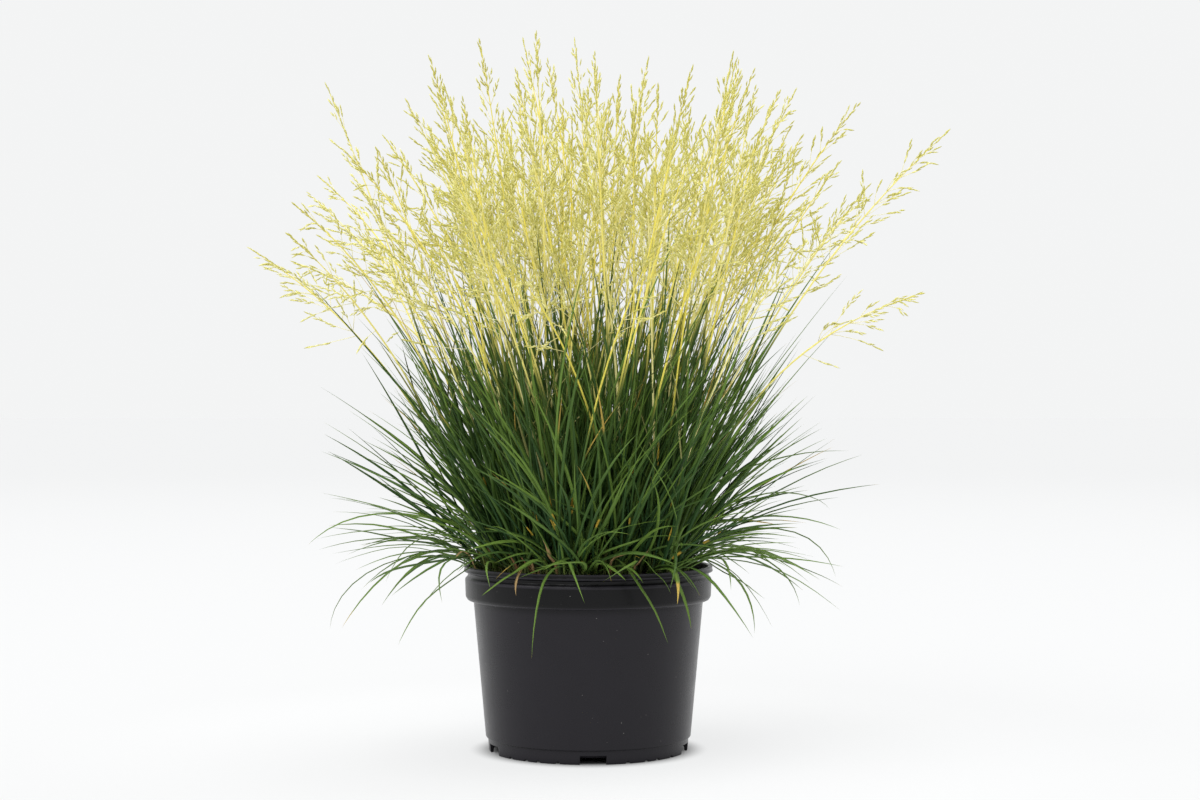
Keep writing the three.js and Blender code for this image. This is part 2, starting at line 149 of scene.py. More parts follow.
# Main stems and sprays
STEMS = 4
STEM_ROOT_RADIUS = (STOCK_HUB + 2 * STOCK_RADIUS) / 3
STEM_ROOT_REACH = 1.6
STEM_LENGTHS = (412.0, 290.0)
STEM_RADIUS = 0.85
STEM_RINGS = (0.0, 0.36)
RACHIS_RADIUS = 0.62
NODES = (0.66, 0.77, 0.875)
NODE_LENGTH = 2.2
NODE_SPRAYS = (3, 3, 2)
TIP_RING = 0.958
TIP_RADIUS = 1.1
SPRAY_LENGTHS = (40.0, 20.0)  # at the lowest node of a head and at its highest
SPRAY_RADIUS = 1.15
SPRAY_RING = 0.58
WHORL_SPREAD = 4.6

CLEARANCE = 0.4
TRIES = 60
SEED = 5373

# Kinds of draw: the first three are those of the solids
STEM_KIND, SPRAY_KIND, LEAF_KIND, FINE_LEAF_KIND = range(1, 5)
FINE_STEM_KIND, HEAD_KIND, CRUMB_KIND, LITTER_KIND = range(5, 9)

# Keys that keep draws of one kind apart
BLADE_LOOK_KEY = 1000
THATCH_KEY = 100
TONE_KEY = 99
SHORT_KEY = 99
STEM_TONE_KEY = 77
SHEATH_CHANNEL = 50
CLUMP_KEYS = 16  # how many stems of a clump can have a key of their own
SPRAY_KEY = 400
SPIKELET_KEY = 900
TOP_KEY = 5000

# Finer plant
ROOT_DEPTH = 124.0  # where every blade and stem starts, just under the soil
BLADE_STEPS = np.array([0, 0.05, 0.12, 0.21, 0.31, 0.42, 0.53, 0.64, 0.75, 0.85, 0.93, 0.978])
STEM_STEPS = np.linspace(0, 0.985, 22)
SPRAY_STEPS = np.array([0, 0.22, 0.48, 0.74, 0.96])
BLADE_TAPER = 0.62  # how far up a blade starts to narrow
COLUMNS = 64  # strips of the map that the blades of one clump share out
HEAD_COLUMNS = 32  # the same for the stems of one clump: a stem has STEM_COLUMNS of them
STEM_COLUMNS = 4
FINE_NODES = (0.645, 0.70, 0.74, 0.80, 0.835, 0.905, 0.93, 0.952)
FINE_NODE_SPRAYS = (1, 2, 3, 3, 3, 2, 2, 1)
SPRAY_TURN = 137.5  # degrees from one finer spray to the next round the stem
HEAD_MIDDLE = 0.8  # how far up a stem the middle of its head is
CROWD_REACH = 9.0  # how near another head, seen from the front, crowds one
CROWD_HALF = 110.0  # half the width over which heads are evened out
CROWD_FINE = 100  # what a head counts that stands outside that width
OUTSIDE_FINE = 1000  # what it counts if its tip is out of bounds
BOX_MARGIN = 4.0  # how far tips may pass the solids' box
LOWEST_TIP = 335.0
FINE_STEM_TRIES = 6
LEAF_SPREAD = 15.5  # how far from the middle of its clump a finer blade stands
STEM_SPREAD = 10.0
PLANTED_RADIUS = 87.0  # how far from the pot's axis anything is rooted
SHEATH_RANGE = (0.22, 0.42)  # how far up a stem its leaf's sheath ends
FINE_LEAF_LENGTHS = (264.0, 126.0)  # of an upright blade and of a wide open one
FINE_HANGING_LENGTHS = (90.0, 150.0)
CROSSING_LENGTHS = (80.0, 150.0)
TALL_LENGTHS = (235.0, 300.0)
FINE_LEAF_WIDTHS = (1.6, 3.2)
CROSSING_WIDTHS = (2.6, 4.4)
TALL_WIDTH = 1.9
FINE_STEM_LENGTHS = (398.0, 250.0)
SHORT_SHARE = 0.62  # length of a short finer stem as a share of another's
BARE_STEM_RADII = (0.84, 0.62)  # low down and under the head
SHEATH_THICKNESS = 0.22
FLAG_LENGTHS = (38.0, 105.0)  # of the leaves that leave the stems
FLAG_WIDTHS = (1.2, 2.0)
FINE_SPRAY_LENGTHS = (42.0, 18.0)  # low in a head and at its top
THREAD_RADII = (0.27, 0.13)  # of a spray, at its stem and at its tip
SPIKELET_LENGTHS = (4.8, 7.2)
SPIKELET_RADII = (0.55, 0.82)
THATCH_LENGTHS = (9.0, 34.0)
THATCH_WIDTHS = (1.2, 3.2)
THATCH_RADIUS = 84.0
THATCH_OPEN = 66.0  # beyond this radius thatch is shorter, so that it stays inside the collar
TOP_SPIKELETS = 12
SPIKELETS = 12  # at most, along one spray
SPIKELET_SPACING = 2.7

# Stretches of the map's height for stems, their leaves, sprays and spikelets
STEM_BAND = (0.01, 0.40)
FLAG_BAND = (0.42, 0.54)
SPRAY_BAND = (0.56, 0.62)
SPIKELET_BAND = (0.66, 0.99)

# Colours that have no setting
STRAW_BROWN = (0.30, 0.17, 0.07)
STRAW_PALE = (0.46, 0.31, 0.14)
STRAW_DARK = (0.12, 0.07, 0.03)
BLADE_FOOT = (0.30, 0.26, 0.10)
STEM_FIBRE = (0.20, 0.16, 0.04)

# Picture: its camera, in millimetres from the pot's axis and foot, and where that axis stands in it
CAMERA_DISTANCE = 1650.0
CAMERA_HEIGHT = 265.8
CAMERA_OFFSET = 8.9
PIXEL = 0.763  # millimetres that one pixel covers at the pot's axis
AXIS_COLUMN = 588.4
HORIZON_ROW = 400.0
SENSOR = 36.0

# Stage
FLOOR_HALF = 30.0  # in metres
SUN_SPREAD = 50.0  # in degrees
PLANT_MIDDLE = 0.25  # its height in metres, which the lamp faces


def mix(a, b, t):
    """The value that lies the share t of the way from a to b."""
    return a + (b - a) * t


def smooth(low, high, x):
    """A soft step from 0 at low to 1 at high: three squares of the share of the way less two cubes."""
    t = np.clip((x - low) / (high - low), 0, 1)
    return t * t * (3 - 2 * t)


def draw(*keys):
    """Repeatable numbers from 0 to 1, one for each list of whole-number keys: the keys are folded one by
    one into a 32-bit number, which is multiplied and shifted into itself each time."""
    mask, h = np.uint64(0xFFFFFFFF), np.uint64(SEED)
    for key in keys:
        h = ((h ^ np.asarray(key, np.uint64)) * np.uint64(0x9E3779B1)) & mask
        h = h ^ (h >> np.uint64(16))
        h = (h * np.uint64(0x85EBCA6B)) & mask
        h = h ^ (h >> np.uint64(13))
    return h / 4294967296.0


def dot(a, b):
    return (a * b).sum(-1)


def unit(v):
    return v / np.maximum(np.linalg.norm(v, axis=-1, keepdims=True), 1e-12)


def vectors(x, y, z):
    return np.stack(np.broadcast_arrays(x, y, z), -1).astype(float)


def draws(channels, *keys):
    """One draw with the same keys for each channel: a list of arrays."""
    return [draw(*keys, channel) for channel in channels]


def swung(a, b, angle):
    """Vectors that lie an angle away from a towards b, which is square to it: a times its cosine plus b
    times its sine."""
    return a * np.cos(angle)[..., None] + b * np.sin(angle)[..., None]


def leaning(lean, azimuth):
    """Unit vectors that lean from upright by an angle, towards an azimuth: the sine of the lean goes that
    way, and its cosine goes up."""
    return vectors(np.sin(lean) * np.cos(azimuth), np.sin(lean) * np.sin(azimuth), np.cos(lean))


def bow(root, first, first_length, second, second_length):
    """Control points of quadratic curves that set off in one direction and end in another: the root, a
    length on in the first direction, and a length further in the second."""
    middle = root + first * np.asarray(first_length)[..., None]
    end = middle + second * np.asarray(second_length)[..., None]
    return np.stack([np.broadcast_to(root, middle.shape), middle, end], -2)


def along_curves(curves, t):
    """Points of quadratic curves at t: the weights of the three control points are the squares of 1 - t and
    t, and twice their product. curves is (..., 3, 3), and t ends in one axis for the places on a curve."""
    t = np.asarray(t, float)[..., None]
    a, b, c = (curves[..., None, i, :] for i in range(3))
    return (1 - t) ** 2 * a + 2 * t * (1 - t) * b + t**2 * c


def curve_frames(curves, side, t):
    """The directions across, facing and along at t: along is the curve's slope, across is the side less
    its part along the curve, and facing is square to both."""
    t = np.asarray(t, float)[..., None]
    a, b, c = (curves[..., None, i, :] for i in range(3))
    along = unit((1 - t) * (b - a) + t * (c - b))
    side = np.asarray(side)[..., None, :]
    across = unit(side - along * dot(side, along)[..., None])
    return across, np.cross(along, across), along


def tube(curves, side, t, radius, sides):
    """Rings of a tube round each curve at t: a centre plus the radius along evenly turned directions."""
    across, facing, _ = curve_frames(curves, side, t)
    spokes = swung(across[..., None, :], facing[..., None, :], np.arange(sides) / sides * TURN)
    return along_curves(curves, t)[..., None, :] + spokes * radius[..., None, None]


def clump_table():
    """Places of the clumps, on a spiral by the golden angle: share of the way out, azimuth, x and y."""
    index = np.arange(CLUMPS)
    share = np.sqrt((index + 0.5) / CLUMPS)
    azimuth = index * GOLDEN_ANGLE
    return share, azimuth, CLUMP_SPREAD * share * np.cos(azimuth), CLUMP_SPREAD * share * np.sin(azimuth)


SHARE, AZIMUTH, CLUMP_X, CLUMP_Y = clump_table()

Strand = namedtuple("Strand", "root reach curve side rings")
Stem = namedtuple("Stem", "curve side number sprays")
Stretches = namedtuple("Stretches", "start end radii order clump strand whorl")


def main_stems(clump, place):
    """Every try at a main stem: it leans outwards with its clump, and bends further out towards its head."""
    roll = draws(range(5), STEM_KIND, clump + 1, place, np.arange(TRIES))
    share, azimuth = SHARE[clump], AZIMUTH[clump]
    spot = azimuth + place / STEMS * TURN
    towards = azimuth + (2 * roll[0] - 1) * math.pi * mix(1, 0.3, share)
    lean = (1.5 + (4 + 19 * share) * roll[1] ** 0.7) * DEGREE
    bend = (3 + 42 * share * roll[2] ** 1.4) * DEGREE
    length = mix(*STEM_LENGTHS, roll[3] ** 1.1) * mix(1.02, 0.95, share)
    turn = (2 * roll[4] - 1) * 0.25
    out = np.array([math.cos(spot), math.sin(spot), 0])
    root = np.array([CLUMP_X[clump], CLUMP_Y[clump], BASE_TOP]) + STEM_ROOT_RADIUS * out
    first, second = leaning(lean, towards), leaning(lean + bend, towards + turn)
    curves = bow(root + SHEATH * UP, first, length * 0.55, second, length * 0.45)
    for curve, size in zip(curves, length):
        nodes = [(t + more, RACHIS_RADIUS) for t in NODES for more in (0, NODE_LENGTH / size)]
        rings = [*((t, STEM_RADIUS) for t in STEM_RINGS), *nodes, (TIP_RING, TIP_RADIUS)]
        yield Strand(root, STEM_ROOT_REACH, curve, -out, rings)


def main_sprays(stem, node, face):
    """Every try at a main side spray: long and open low on the head, short and upright at its top."""
    roll = draws(range(4), SPRAY_KIND, stem.number, node * 3 + face, np.arange(TRIES))
    height = node / (len(NODES) - 1)
    across, facing, along = (v[0] for v in curve_frames(stem.curve, stem.side, [NODES[node]]))
    turn = (60 + 120 * face + 56 * (roll[0] - 0.5)) * DEGREE
    out = swung(across, facing, turn)
    opening = mix(50, 30, height) * mix(0.75, 1.2, roll[1]) * DEGREE
    length = mix(*SPRAY_LENGTHS, height) * mix(0.8, 1.2, roll[2])
    rise = opening * mix(0.45, 0.95, roll[3])
    root = along_curves(stem.curve, [NODES[node]])[0]
    curves = bow(root, swung(along, out, opening), length * 0.5, swung(along, out, rise), length * 0.5)
    for curve in curves:
        yield Strand(root, RACHIS_RADIUS, curve, None, [(SPRAY_RING, SPRAY_RADIUS)])


def blade_shape(t):
    """The width of a blade along its length, as a share of its full width: a parabola that starts at 0.78
    and is broadest about a third of the way up."""
    return 0.78 + 1.2 * t - 1.7 * t * t


def main_leaves(clump, place):
    """Every try at a main blade: upright in the middle of the plant, more open and shorter at its edge."""
    roll = draws(range(7), LEAF_KIND, clump + 1, place, np.arange(TRIES))
    share, azimuth = SHARE[clump], AZIMUTH[clump]
    spot = azimuth + (place + 0.5) / LEAVES * TURN
    facing = max(0, math.cos(spot - azimuth))
    opening = mix(0.2, 1, share) * mix(0.5, 1, facing) * roll[1] ** 0.45
    hangs = place in HANGING_PLACES and share > HANGING_SHARE
    spread = mix(46, 64, roll[5]) if hangs else 58 * opening
    splay = mix(3, 10, roll[5])
    x = spread * math.cos(azimuth) + splay * math.cos(spot)
    y = spread * math.sin(azimuth) + splay * math.sin(spot)
    lean, towards = np.hypot(x, y), np.arctan2(y, x) + (roll[0] - 0.5) * 0.5
    bend = mix(14, 84, roll[2]) if hangs else 6 + 12 * roll[2] + 40 * opening * opening
    length = mix(*LEAF_LENGTHS, opening) * mix(0.78, 1.06, roll[3])
    length = mix(*HANGING_LENGTHS, roll[3]) if hangs else length
    turn = (2 * roll[4] - 1) * 0.5
    width = mix(*LEAF_WIDTHS, roll[6])
    out = np.array([math.cos(spot), math.sin(spot), 0])
    root = np.array([CLUMP_X[clump], CLUMP_Y[clump], BASE_TOP]) + LEAF_ROOT_RADIUS * out
    first, second = leaning(lean * DEGREE, towards), leaning((lean + bend) * DEGREE, towards + turn)
    curves = bow(root + SHEATH * UP, first, length * 0.43, second, length * 0.57)
    side = np.array([-math.sin(spot), math.cos(spot), 0])
    for curve, angle, size in zip(curves, bend, width):
        places = STRAIGHT_LEAF_RINGS if angle < STRAIGHT_BEND else LEAF_RINGS
        yield Strand(root, LEAF_ROOT_REACH, curve, side, [(t, size / 2 * blade_shape(t)) for t in places])


def stretches_of(strand, clump=-1, number=-1, whorl=-1):
    """The straight stretches of a strand, from its root through its rings to its tip."""
    places = [t for t, _ in strand.rings] + [1]
    points = np.vstack([strand.root, along_curves(strand.curve, places)])
    radii = np.array([strand.reach, *(radius for _, radius in strand.rings), 0])
    count = len(places)
    labels = (np.full(count, label) for label in (clump, number, whorl))
    ends = np.stack([radii[:-1], radii[1:]], 1)
    return Stretches(points[:-1], points[1:], ends, np.arange(count), *labels)


def gaps(p, q):
    """The widths of the gaps between the stretches p and q, where their centre lines are nearest: that
    distance less the radii of both there."""
    d1, d2 = (p.end - p.start)[:, None], (q.end - q.start)[None]
    r = p.start[:, None] - q.start[None]
    a, b, c, e, f = dot(d1, d1), dot(d1, d2), dot(d1, r), dot(d2, d2), dot(d2, r)
    flat = a * e - b * b
    skew = flat > 1e-9
    s = np.where(skew, np.clip((b * f - c * e) / np.where(skew, flat, 1), 0, 1), 0)
    t = np.clip((b * s + f) / e, 0, 1)
    s = np.clip((b * t - c) / a, 0, 1)
    nearest = np.linalg.norm(r + d1 * s[..., None] - d2 * t[..., None], axis=-1)
    p_radius = mix(p.radii[:, None, 0], p.radii[:, None, 1], s)
    q_radius = mix(q.radii[None, :, 0], q.radii[None, :, 1], t)
    return nearest - p_radius - q_radius


def may_touch(p, q, carrier):
    """Pairs of stretches that may touch: the upright sheaths of one clump, and a spray's first stretch with
    its stem and with those of its whorl that spread well away from it."""
    if carrier is None:
        kin = (q.clump == p.clump[0]) & (q.order == 0)
        return (p.order == 0)[:, None] & kin[None]
    apart = np.linalg.norm(p.end[:, None] - q.end[None], axis=-1) > WHORL_SPREAD
    kin = (q.strand == carrier)[None] | ((q.whorl == p.whorl[0]) & (q.order == 0))[None] & apart
    return (p.order == 0)[:, None] & kin


def clears_pot(p):
    """True where every stretch stays over the soil, over the rim or outside the pot."""
    reach = (p.radii.max(1) + CLEARANCE)[:, None]
    points = mix(p.start[:, None], p.end[:, None], np.linspace(0, 1, 13)[:, None])
    out = np.hypot(points[..., 0], points[..., 1])
    over = (points[..., 2] > POT_HEIGHT + reach) | (out > LIP_RADIUS + reach)
    return bool((over | ((out < INNER_COLLAR - reach) & (points[..., 2] > BASE_TOP - reach))).all())


class Bed:
    """What stands in the pot already, as straight stretches."""

    def __init__(self):
        ends = np.stack([CLUMP_X, CLUMP_Y, np.full(CLUMPS, BASE_TOP - BASE_RADIUS)], 1)
        starts = ends * [1, 1, 0] + [0, 0, BASE_BOTTOM]
        none, base = np.full(CLUMPS, -1), np.arange(CLUMPS) + 1
        radii = np.full((CLUMPS, 2), BASE_RADIUS)
        self.standing = Stretches(starts, ends, radii, np.zeros(CLUMPS, int), base, none, none)

    def near(self, p):
        """The stretches whose boxes come near the box of p."""
        reach = p.radii.max() + CLEARANCE
        low = np.minimum(p.start, p.end).min(0) - reach
        high = np.maximum(p.start, p.end).max(0) + reach
        q, far = self.standing, self.standing.radii.max(1)[:, None]
        q_low, q_high = np.minimum(q.start, q.end) - far, np.maximum(q.start, q.end) + far
        meets = (q_low < high).all(1) & (q_high > low).all(1)
        return Stretches(*(values[meets] for values in q))

    def plant(self, tries, carrier=None, **labels):
        """Plants the first try that is clear of all that stands, and gives it. Gives None if none is."""
        for strand in tries:
            fresh = stretches_of(strand, **labels)
            if not clears_pot(fresh):
                continue
            near = self.near(fresh)
            if (may_touch(fresh, near, carrier) | (gaps(fresh, near) > CLEARANCE)).all():
                self.standing = Stretches(*(np.concatenate(pair) for pair in zip(self.standing, fresh)))
                return strand
        return None


@functools.lru_cache(maxsize=1)
def main_plant():
    """The stems with their sprays, and the blades, of each clump, planted in the order of the solids."""
    bed = Bed()
    stems = [[] for _ in range(CLUMPS)]
    for clump in range(CLUMPS):
        for place in range(STEMS):
            number = (clump + 1) * STEMS + place
            strand = bed.plant(main_stems(clump, place), clump=clump + 1, number=number)
            if strand:
                stems[clump].append(Stem(strand.curve, strand.side, number, []))
    for stem in (stem for group in stems for stem in group):
        for node, count in enumerate(NODE_SPRAYS):
            for i in range(count):
                tries = main_sprays(stem, node, (i + node + stem.number) % 3)
                spray = bed.plant(tries, carrier=stem.number, whorl=stem.number * len(NODES) + node)
                if spray:
                    stem.sprays.append(spray.curve)
    leaves = []
    for clump in range(CLUMPS):
        group = [bed.plant(main_leaves(clump, place), clump=clump + 1) for place in range(LEAVES)]
        leaves.append([leaf for leaf in group if leaf])
    return stems, leaves


def strand_mesh(rings, root, tip, heights, left, breadth, band):
    """Closed strands: rings of points (strands, steps, sides, 3) joined by strips, and drawn in to a root
    point and a tip point. The map gives each strand a column from left, breadth wide, and runs up the band
    with the heights of the rings. Returns points, triangles and the map's place of each corner."""
    count, steps, sides = rings.shape[:3]
    size = steps * sides + 2
    points = np.concatenate([rings.reshape(count, -1, 3), root[:, None], tip[:, None]], 1)
    ring = np.arange(steps)[:, None] * sides
    here = np.arange(sides)[None]
    after = (here + 1) % sides
    lower = np.stack([ring[:-1] + here, ring[:-1] + after, ring[1:] + after], -1).reshape(-1, 3)
    upper = np.stack([ring[:-1] + here, ring[1:] + after, ring[1:] + here], -1).reshape(-1, 3)
    foot = np.stack([after[0], here[0], np.full(sides, size - 2)], -1)
    top = (steps - 1) * sides
    head = np.stack([top + here[0], top + after[0], np.full(sides, size - 1)], -1)
    faces = np.concatenate([lower, upper, foot, head])
    levels = np.broadcast_to(heights, (count, steps))
    v = np.concatenate([np.repeat(levels, sides, 1), np.zeros((count, 1)), np.ones((count, 1))], 1)
    v = mix(band[0], band[1], v)[:, faces]
    k, step = here[0] / sides, 1 / sides
    strip = np.tile(k, steps - 1)
    u = np.concatenate(
        [
            np.stack([strip, strip + step, strip + step], 1),
            np.stack([strip, strip + step, strip], 1),
            np.stack([k + step, k, k + step / 2], 1),
            np.stack([k, k + step, k + step / 2], 1),
        ]
    )
    places = np.stack([left[:, None, None] + breadth * u[None], v], -1)
    numbers = faces[None] + (np.arange(count) * size)[:, None, None]
    return points.reshape(-1, 3), numbers.reshape(-1, 3), places.reshape(-1, 3, 2)


def linked(name, data):
    """A new object of the scene, with a mesh, a lamp or a camera as its data."""
    item = bpy.data.objects.new(name, data)
    bpy.context.scene.collection.objects.link(item)
    return item


class Piece:
    """A mesh under construction: closed surfaces, gathered in millimetres."""

    def __init__(self, name):
        self.name, self.count = name, 0
        self.points, self.faces, self.places, self.values = [], [], [], {}

    def add(self, points, faces, places, **values):
        """Adds a surface. values holds a number for each point, or one for all, by the attribute's name."""
        self.points.append(points)
        self.faces.append(faces + self.count)
        self.places.append(places)
        self.count += len(points)
        for name, numbers in values.items():
            numbers = np.broadcast_to(numbers, len(points)).astype(np.float32)
            self.values.setdefault(name, []).append(numbers)

    def add_strands(self, rings, root, tip, heights, left, breadth, band, **values):
        """Adds closed strands, as strand_mesh makes them. values holds a number for each strand."""
        points, faces, places = strand_mesh(rings, root, tip, heights, left, breadth, band)
        each = len(points) // len(rings)
        values = {name: np.repeat(numbers, each) for name, numbers in values.items()}
        self.add(points, faces, places, **values)

    def make(self, material, slot, node=None):
        """Makes the object, which rides on the one body. It takes the finish it is given, and may replace a
        node of the solids. The slot is not used."""
        points, faces = np.concatenate(self.points) * MM, np.concatenate(self.faces)
        mesh = bpy.data.meshes.new(self.name)
        mesh.vertices.add(len(points))
        mesh.vertices.foreach_set("co", points.astype(np.float32).ravel())
        mesh.loops.add(faces.size)
        mesh.loops.foreach_set("vertex_index", faces.astype(np.int32).ravel())
        mesh.polygons.add(len(faces))
        mesh.polygons.foreach_set("loop_start", np.arange(0, faces.size, 3, dtype=np.int32))
        mesh.polygons.foreach_set("use_smooth", np.ones(len(faces), bool))
        layer = mesh.uv_layers.new(name="OFBake")
        layer.uv.foreach_set("vector", np.concatenate(self.places).astype(np.float32).ravel())
        for name, numbers in self.values.items():
            attribute = mesh.attributes.new(name, "FLOAT", "POINT")
            attribute.data.foreach_set("value", np.concatenate(numbers))
        mesh.update(calc_edges=True)
        mesh.validate()
        mesh.materials.append(material)
        item = linked(self.name, mesh)
        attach(item, "root")
        if node:
            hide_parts(node)
        return item


class Value:
    """A shader socket that can be used in sums. Each operation adds its Math node."""

    def __init__(self, finish, socket):
        self.finish, self.socket = finish, socket

    def _math(self, operation, *numbers):
        node = self.finish.node("ShaderNodeMath", {"operation": operation}, dict(enumerate(numbers)))
        return Value(self.finish, node.outputs[0])

    def __add__(self, other):
        return self._math("ADD", self, other)

    __radd__ = __add__

    def __sub__(self, other):
        return self._math("SUBTRACT", self, other)

    def __rsub__(self, other):
        return self._math("SUBTRACT", other, self)

    def __mul__(self, other):
        return self._math("MULTIPLY", self, other)

    __rmul__ = __mul__

    def __truediv__(self, other):
        return self._math("DIVIDE", self, other)

    def __pow__(self, other):
        return self._math("POWER", self, other)

    def part(self):
        """What is left of it above the next lower whole number."""
        return self._math("FRACT", self)

    def whole(self):
        return self._math("FLOOR", self)

    def step(self, low, high):
        """A soft step from 0 at low to 1 at high."""
        inputs = {"Value": self, "From Min": low, "From Max": high}
        node = self.finish.node("ShaderNodeMapRange", {"interpolation_type": "SMOOTHSTEP"}, inputs)
        return Value(self.finish, node.outputs["Result"])


def shaded(colour, factor):
    return tuple(factor * part for part in colour)


class Finish:
    """A material under construction, with one Principled shader."""

    def __init__(self, name, **numbers):
        self.material = bpy.data.materials.new(name)
        self.material.use_nodes = True
        self.tree = self.material.node_tree
        self.tree.nodes.clear()
        output = self.tree.nodes.new("ShaderNodeOutputMaterial")
        self.shader = self.node("ShaderNodeBsdfPrincipled", {}, numbers)
        self.tree.links.new(self.shader.outputs[0], output.inputs["Surface"])

    def node(self, kind, settings=None, inputs=None):
        """Adds a node, sets it up, and fills its sockets, by name or number, with values or links."""
        node = self.tree.nodes.new(kind)
        for name, value in (settings or {}).items():
            setattr(node, name, value)
        for name, value in (inputs or {}).items():
            socket = node.inputs[name]
            if isinstance(value, Value):
                self.tree.links.new(value.socket, socket)
            else:
                socket.default_value = value
        return node

    def out(self, node, name=0):
        return Value(self, node.outputs[name])

    def attribute(self, name):
        return self.out(self.node("ShaderNodeAttribute", {"attribute_name": name}), "Fac")

    def mapped(self):
        """The two numbers of the piece's own map, across and along."""
        place = self.out(self.node("ShaderNodeUVMap", {"uv_map": "OFBake"}))
        apart = self.node("ShaderNodeSeparateXYZ", {}, {0: place})
        return self.out(apart, 0), self.out(apart, 1)

    def place(self):
        return self.out(self.node("ShaderNodeTexCoord"), "Object")

    def point(self, x, y, z=0.0):
        return self.out(self.node("ShaderNodeCombineXYZ", {}, {0: x, 1: y, 2: z}))

    def noise(self, vector, scale, detail):
        inputs = {"Vector": vector, "Scale": scale, "Detail": detail}
        return self.out(self.node("ShaderNodeTexNoise", {}, inputs))

    def mixed(self, share, a, b):
        """The colour that lies the share of the way from a to b."""
        a, b = (colour if isinstance(colour, Value) else (*colour, 1) for colour in (a, b))
        return self.out(self.node("ShaderNodeMix", {"data_type": "RGBA"}, {0: share, 6: a, 7: b}), 2)

    def feed(self, **links):
        """Links values to the shader's sockets, whose names take an underscore for a blank."""
        for name, value in links.items():
            self.tree.links.new(value.socket, self.shader.inputs[name.replace("_", " ")])

    def bump(self, height, distance, strength=1.0):
        inputs = {"Height": height, "Distance": distance, "Strength": strength}
        self.feed(Normal=self.out(self.node("ShaderNodeBump", {}, inputs)))


def colour_property(name, description, default):
    return bpy.props.FloatVectorProperty(
        name=name, description=description, default=default, size=3, min=0, max=1, subtype="COLOR"
    )


def count_property(name, description, default, low, high):
    return bpy.props.IntProperty(name=name, description=description, default=default, min=low, max=high)


class PotSettings(bpy.types.PropertyGroup):
    plastic: colour_property("Plastic", "Colour of the body's plastic", (0.0118, 0.0108, 0.0138))
    # The collar's colour is far darker than the body's: painted shade, for the less light that the collar
    # reflects.
    collar: colour_property("Collar", "Colour of the cleaner collar", (0.0020, 0.0019, 0.0025))
    dust: colour_property("Dust", "Colour of the dust specks", (0.30, 0.29, 0.27))
    sides: count_property("Sides", "Steps round the pot", 192, 48, 360)


class SoilSettings(bpy.types.PropertyGroup):
    peat: colour_property("Peat", "Colour of the damp peat", (0.020, 0.013, 0.008))
    crumb: colour_property("Crumbs", "Colour of the paler crumbs", (0.10, 0.065, 0.035))
    crumbs: count_property("Crumbs", "Number of loose crumbs", 900, 1, 3000)


class LeafSettings(bpy.types.PropertyGroup):
    deep: colour_property("Deep green", "Colour of most blades", (0.012, 0.043, 0.004))
    blue: colour_property("Blue green", "Colour of the bluest blades", (0.019, 0.064, 0.021))
    # Fresh green is the youngest blades' colour. It is also painted light: outer and low blades, and the
    # tips of all blades, are turned towards it.
    fresh: colour_property("Fresh green", "Colour of the youngest blades", (0.155, 0.262, 0.042))
    sheath: colour_property("Old sheath", "Colour of old yellow sheaths", (0.68, 0.46, 0.06))
    dry: colour_property("Dry", "Colour of withered tips and blades", (0.52, 0.37, 0.08))
    fine_leaves: count_property("Fine blades", "Blades added to each clump", 50, 0, 50)
    thatch: count_property("Thatch", "Dry pieces on the soil", 260, 0, 800)


class HeadSettings(bpy.types.PropertyGroup):
    green: colour_property("Green stem", "Colour of the stems near the leaves", (0.045, 0.095, 0.013))
    gold: colour_property("Golden stem", "Colour of the stems under the heads", (0.90, 0.78, 0.12))
    husk: colour_property("Husk", "Colour of the spikelets", (0.92, 0.87, 0.28))
    olive: colour_property("Olive", "Colour of the spikelets' shaded scales", (0.46, 0.43, 0.075))
    pale: colour_property("Pale husk", "Colour of the spikelets' papery edges", (0.98, 0.96, 0.64))
    fine_stems: count_property("Fine stems", "Flowering stems added to each clump", 4, 0, 4)


class StageSettings(bpy.types.PropertyGroup):
    floor: colour_property("Floor", "Colour of the floor", (0.170, 0.171, 0.172))
    glow: colour_property("Glow", "Light that comes through the floor from below", (0.616, 0.620, 0.621))
    near_glow: colour_property("Near glow", "The same light near the plant", (0.683, 0.687, 0.689))
    sky: colour_property("Sky", "Colour of the even light around", (0.900, 0.906, 0.908))
    lens: bpy.props.FloatProperty(
        name="Lens", description="Focal length of the camera", default=64.9, min=20, max=200, unit="CAMERA"
    )


def rounded(profile, radius):
    """A profile whose corners are rounded: each corner gives way to a quadratic curve that starts and ends
    at most the radius away from it, and never past a third of the way to the next corner."""
    profile = np.asarray(profile, float)
    before, corner, after = profile[:-2], profile[1:-1], profile[2:]
    to_before, to_after = before - corner, after - corner

    def cut(v):
        length = np.linalg.norm(v, axis=1, keepdims=True)
        return v / length * np.minimum(radius, length / 3)

    t = np.linspace(0, 1, ROUNDING_STEPS)[None, :, None]
    start, end = (corner + cut(to_before))[:, None], (corner + cut(to_after))[:, None]
    curves = (1 - t) ** 2 * start + 2 * t * (1 - t) * corner[:, None] + t**2 * end
    return np.vstack([profile[:1], curves.reshape(-1, 2), profile[-1:]])


def foot_cut(turn):
    """How far the foot's edge is raised at each angle: by the height of a notch within its width, and along
    a half ellipse within a nick."""
    notch = np.zeros_like(turn)
    nick = np.zeros_like(turn)
    for i in range(NOTCHES):
        start = NOTCH_TURN + i * 360 / NOTCHES
        off = (turn / DEGREE - start + 180) % 360 - 180
        notch = np.maximum(notch, (np.abs(off) * DEGREE * FOOT_RADIUS < NOTCH_WIDTH / 2) * NOTCH_HEIGHT)
        for offset in NICK_OFFSETS:
            off = (turn / DEGREE - start - offset + 180) % 360 - 180
            across = np.abs(off) * DEGREE * FOOT_RADIUS / (NICK_WIDTH / 2)
            nick = np.maximum(nick, NICK_HEIGHT * np.sqrt(np.clip(1 - across**2, 0, 1)))
    return notch, nick


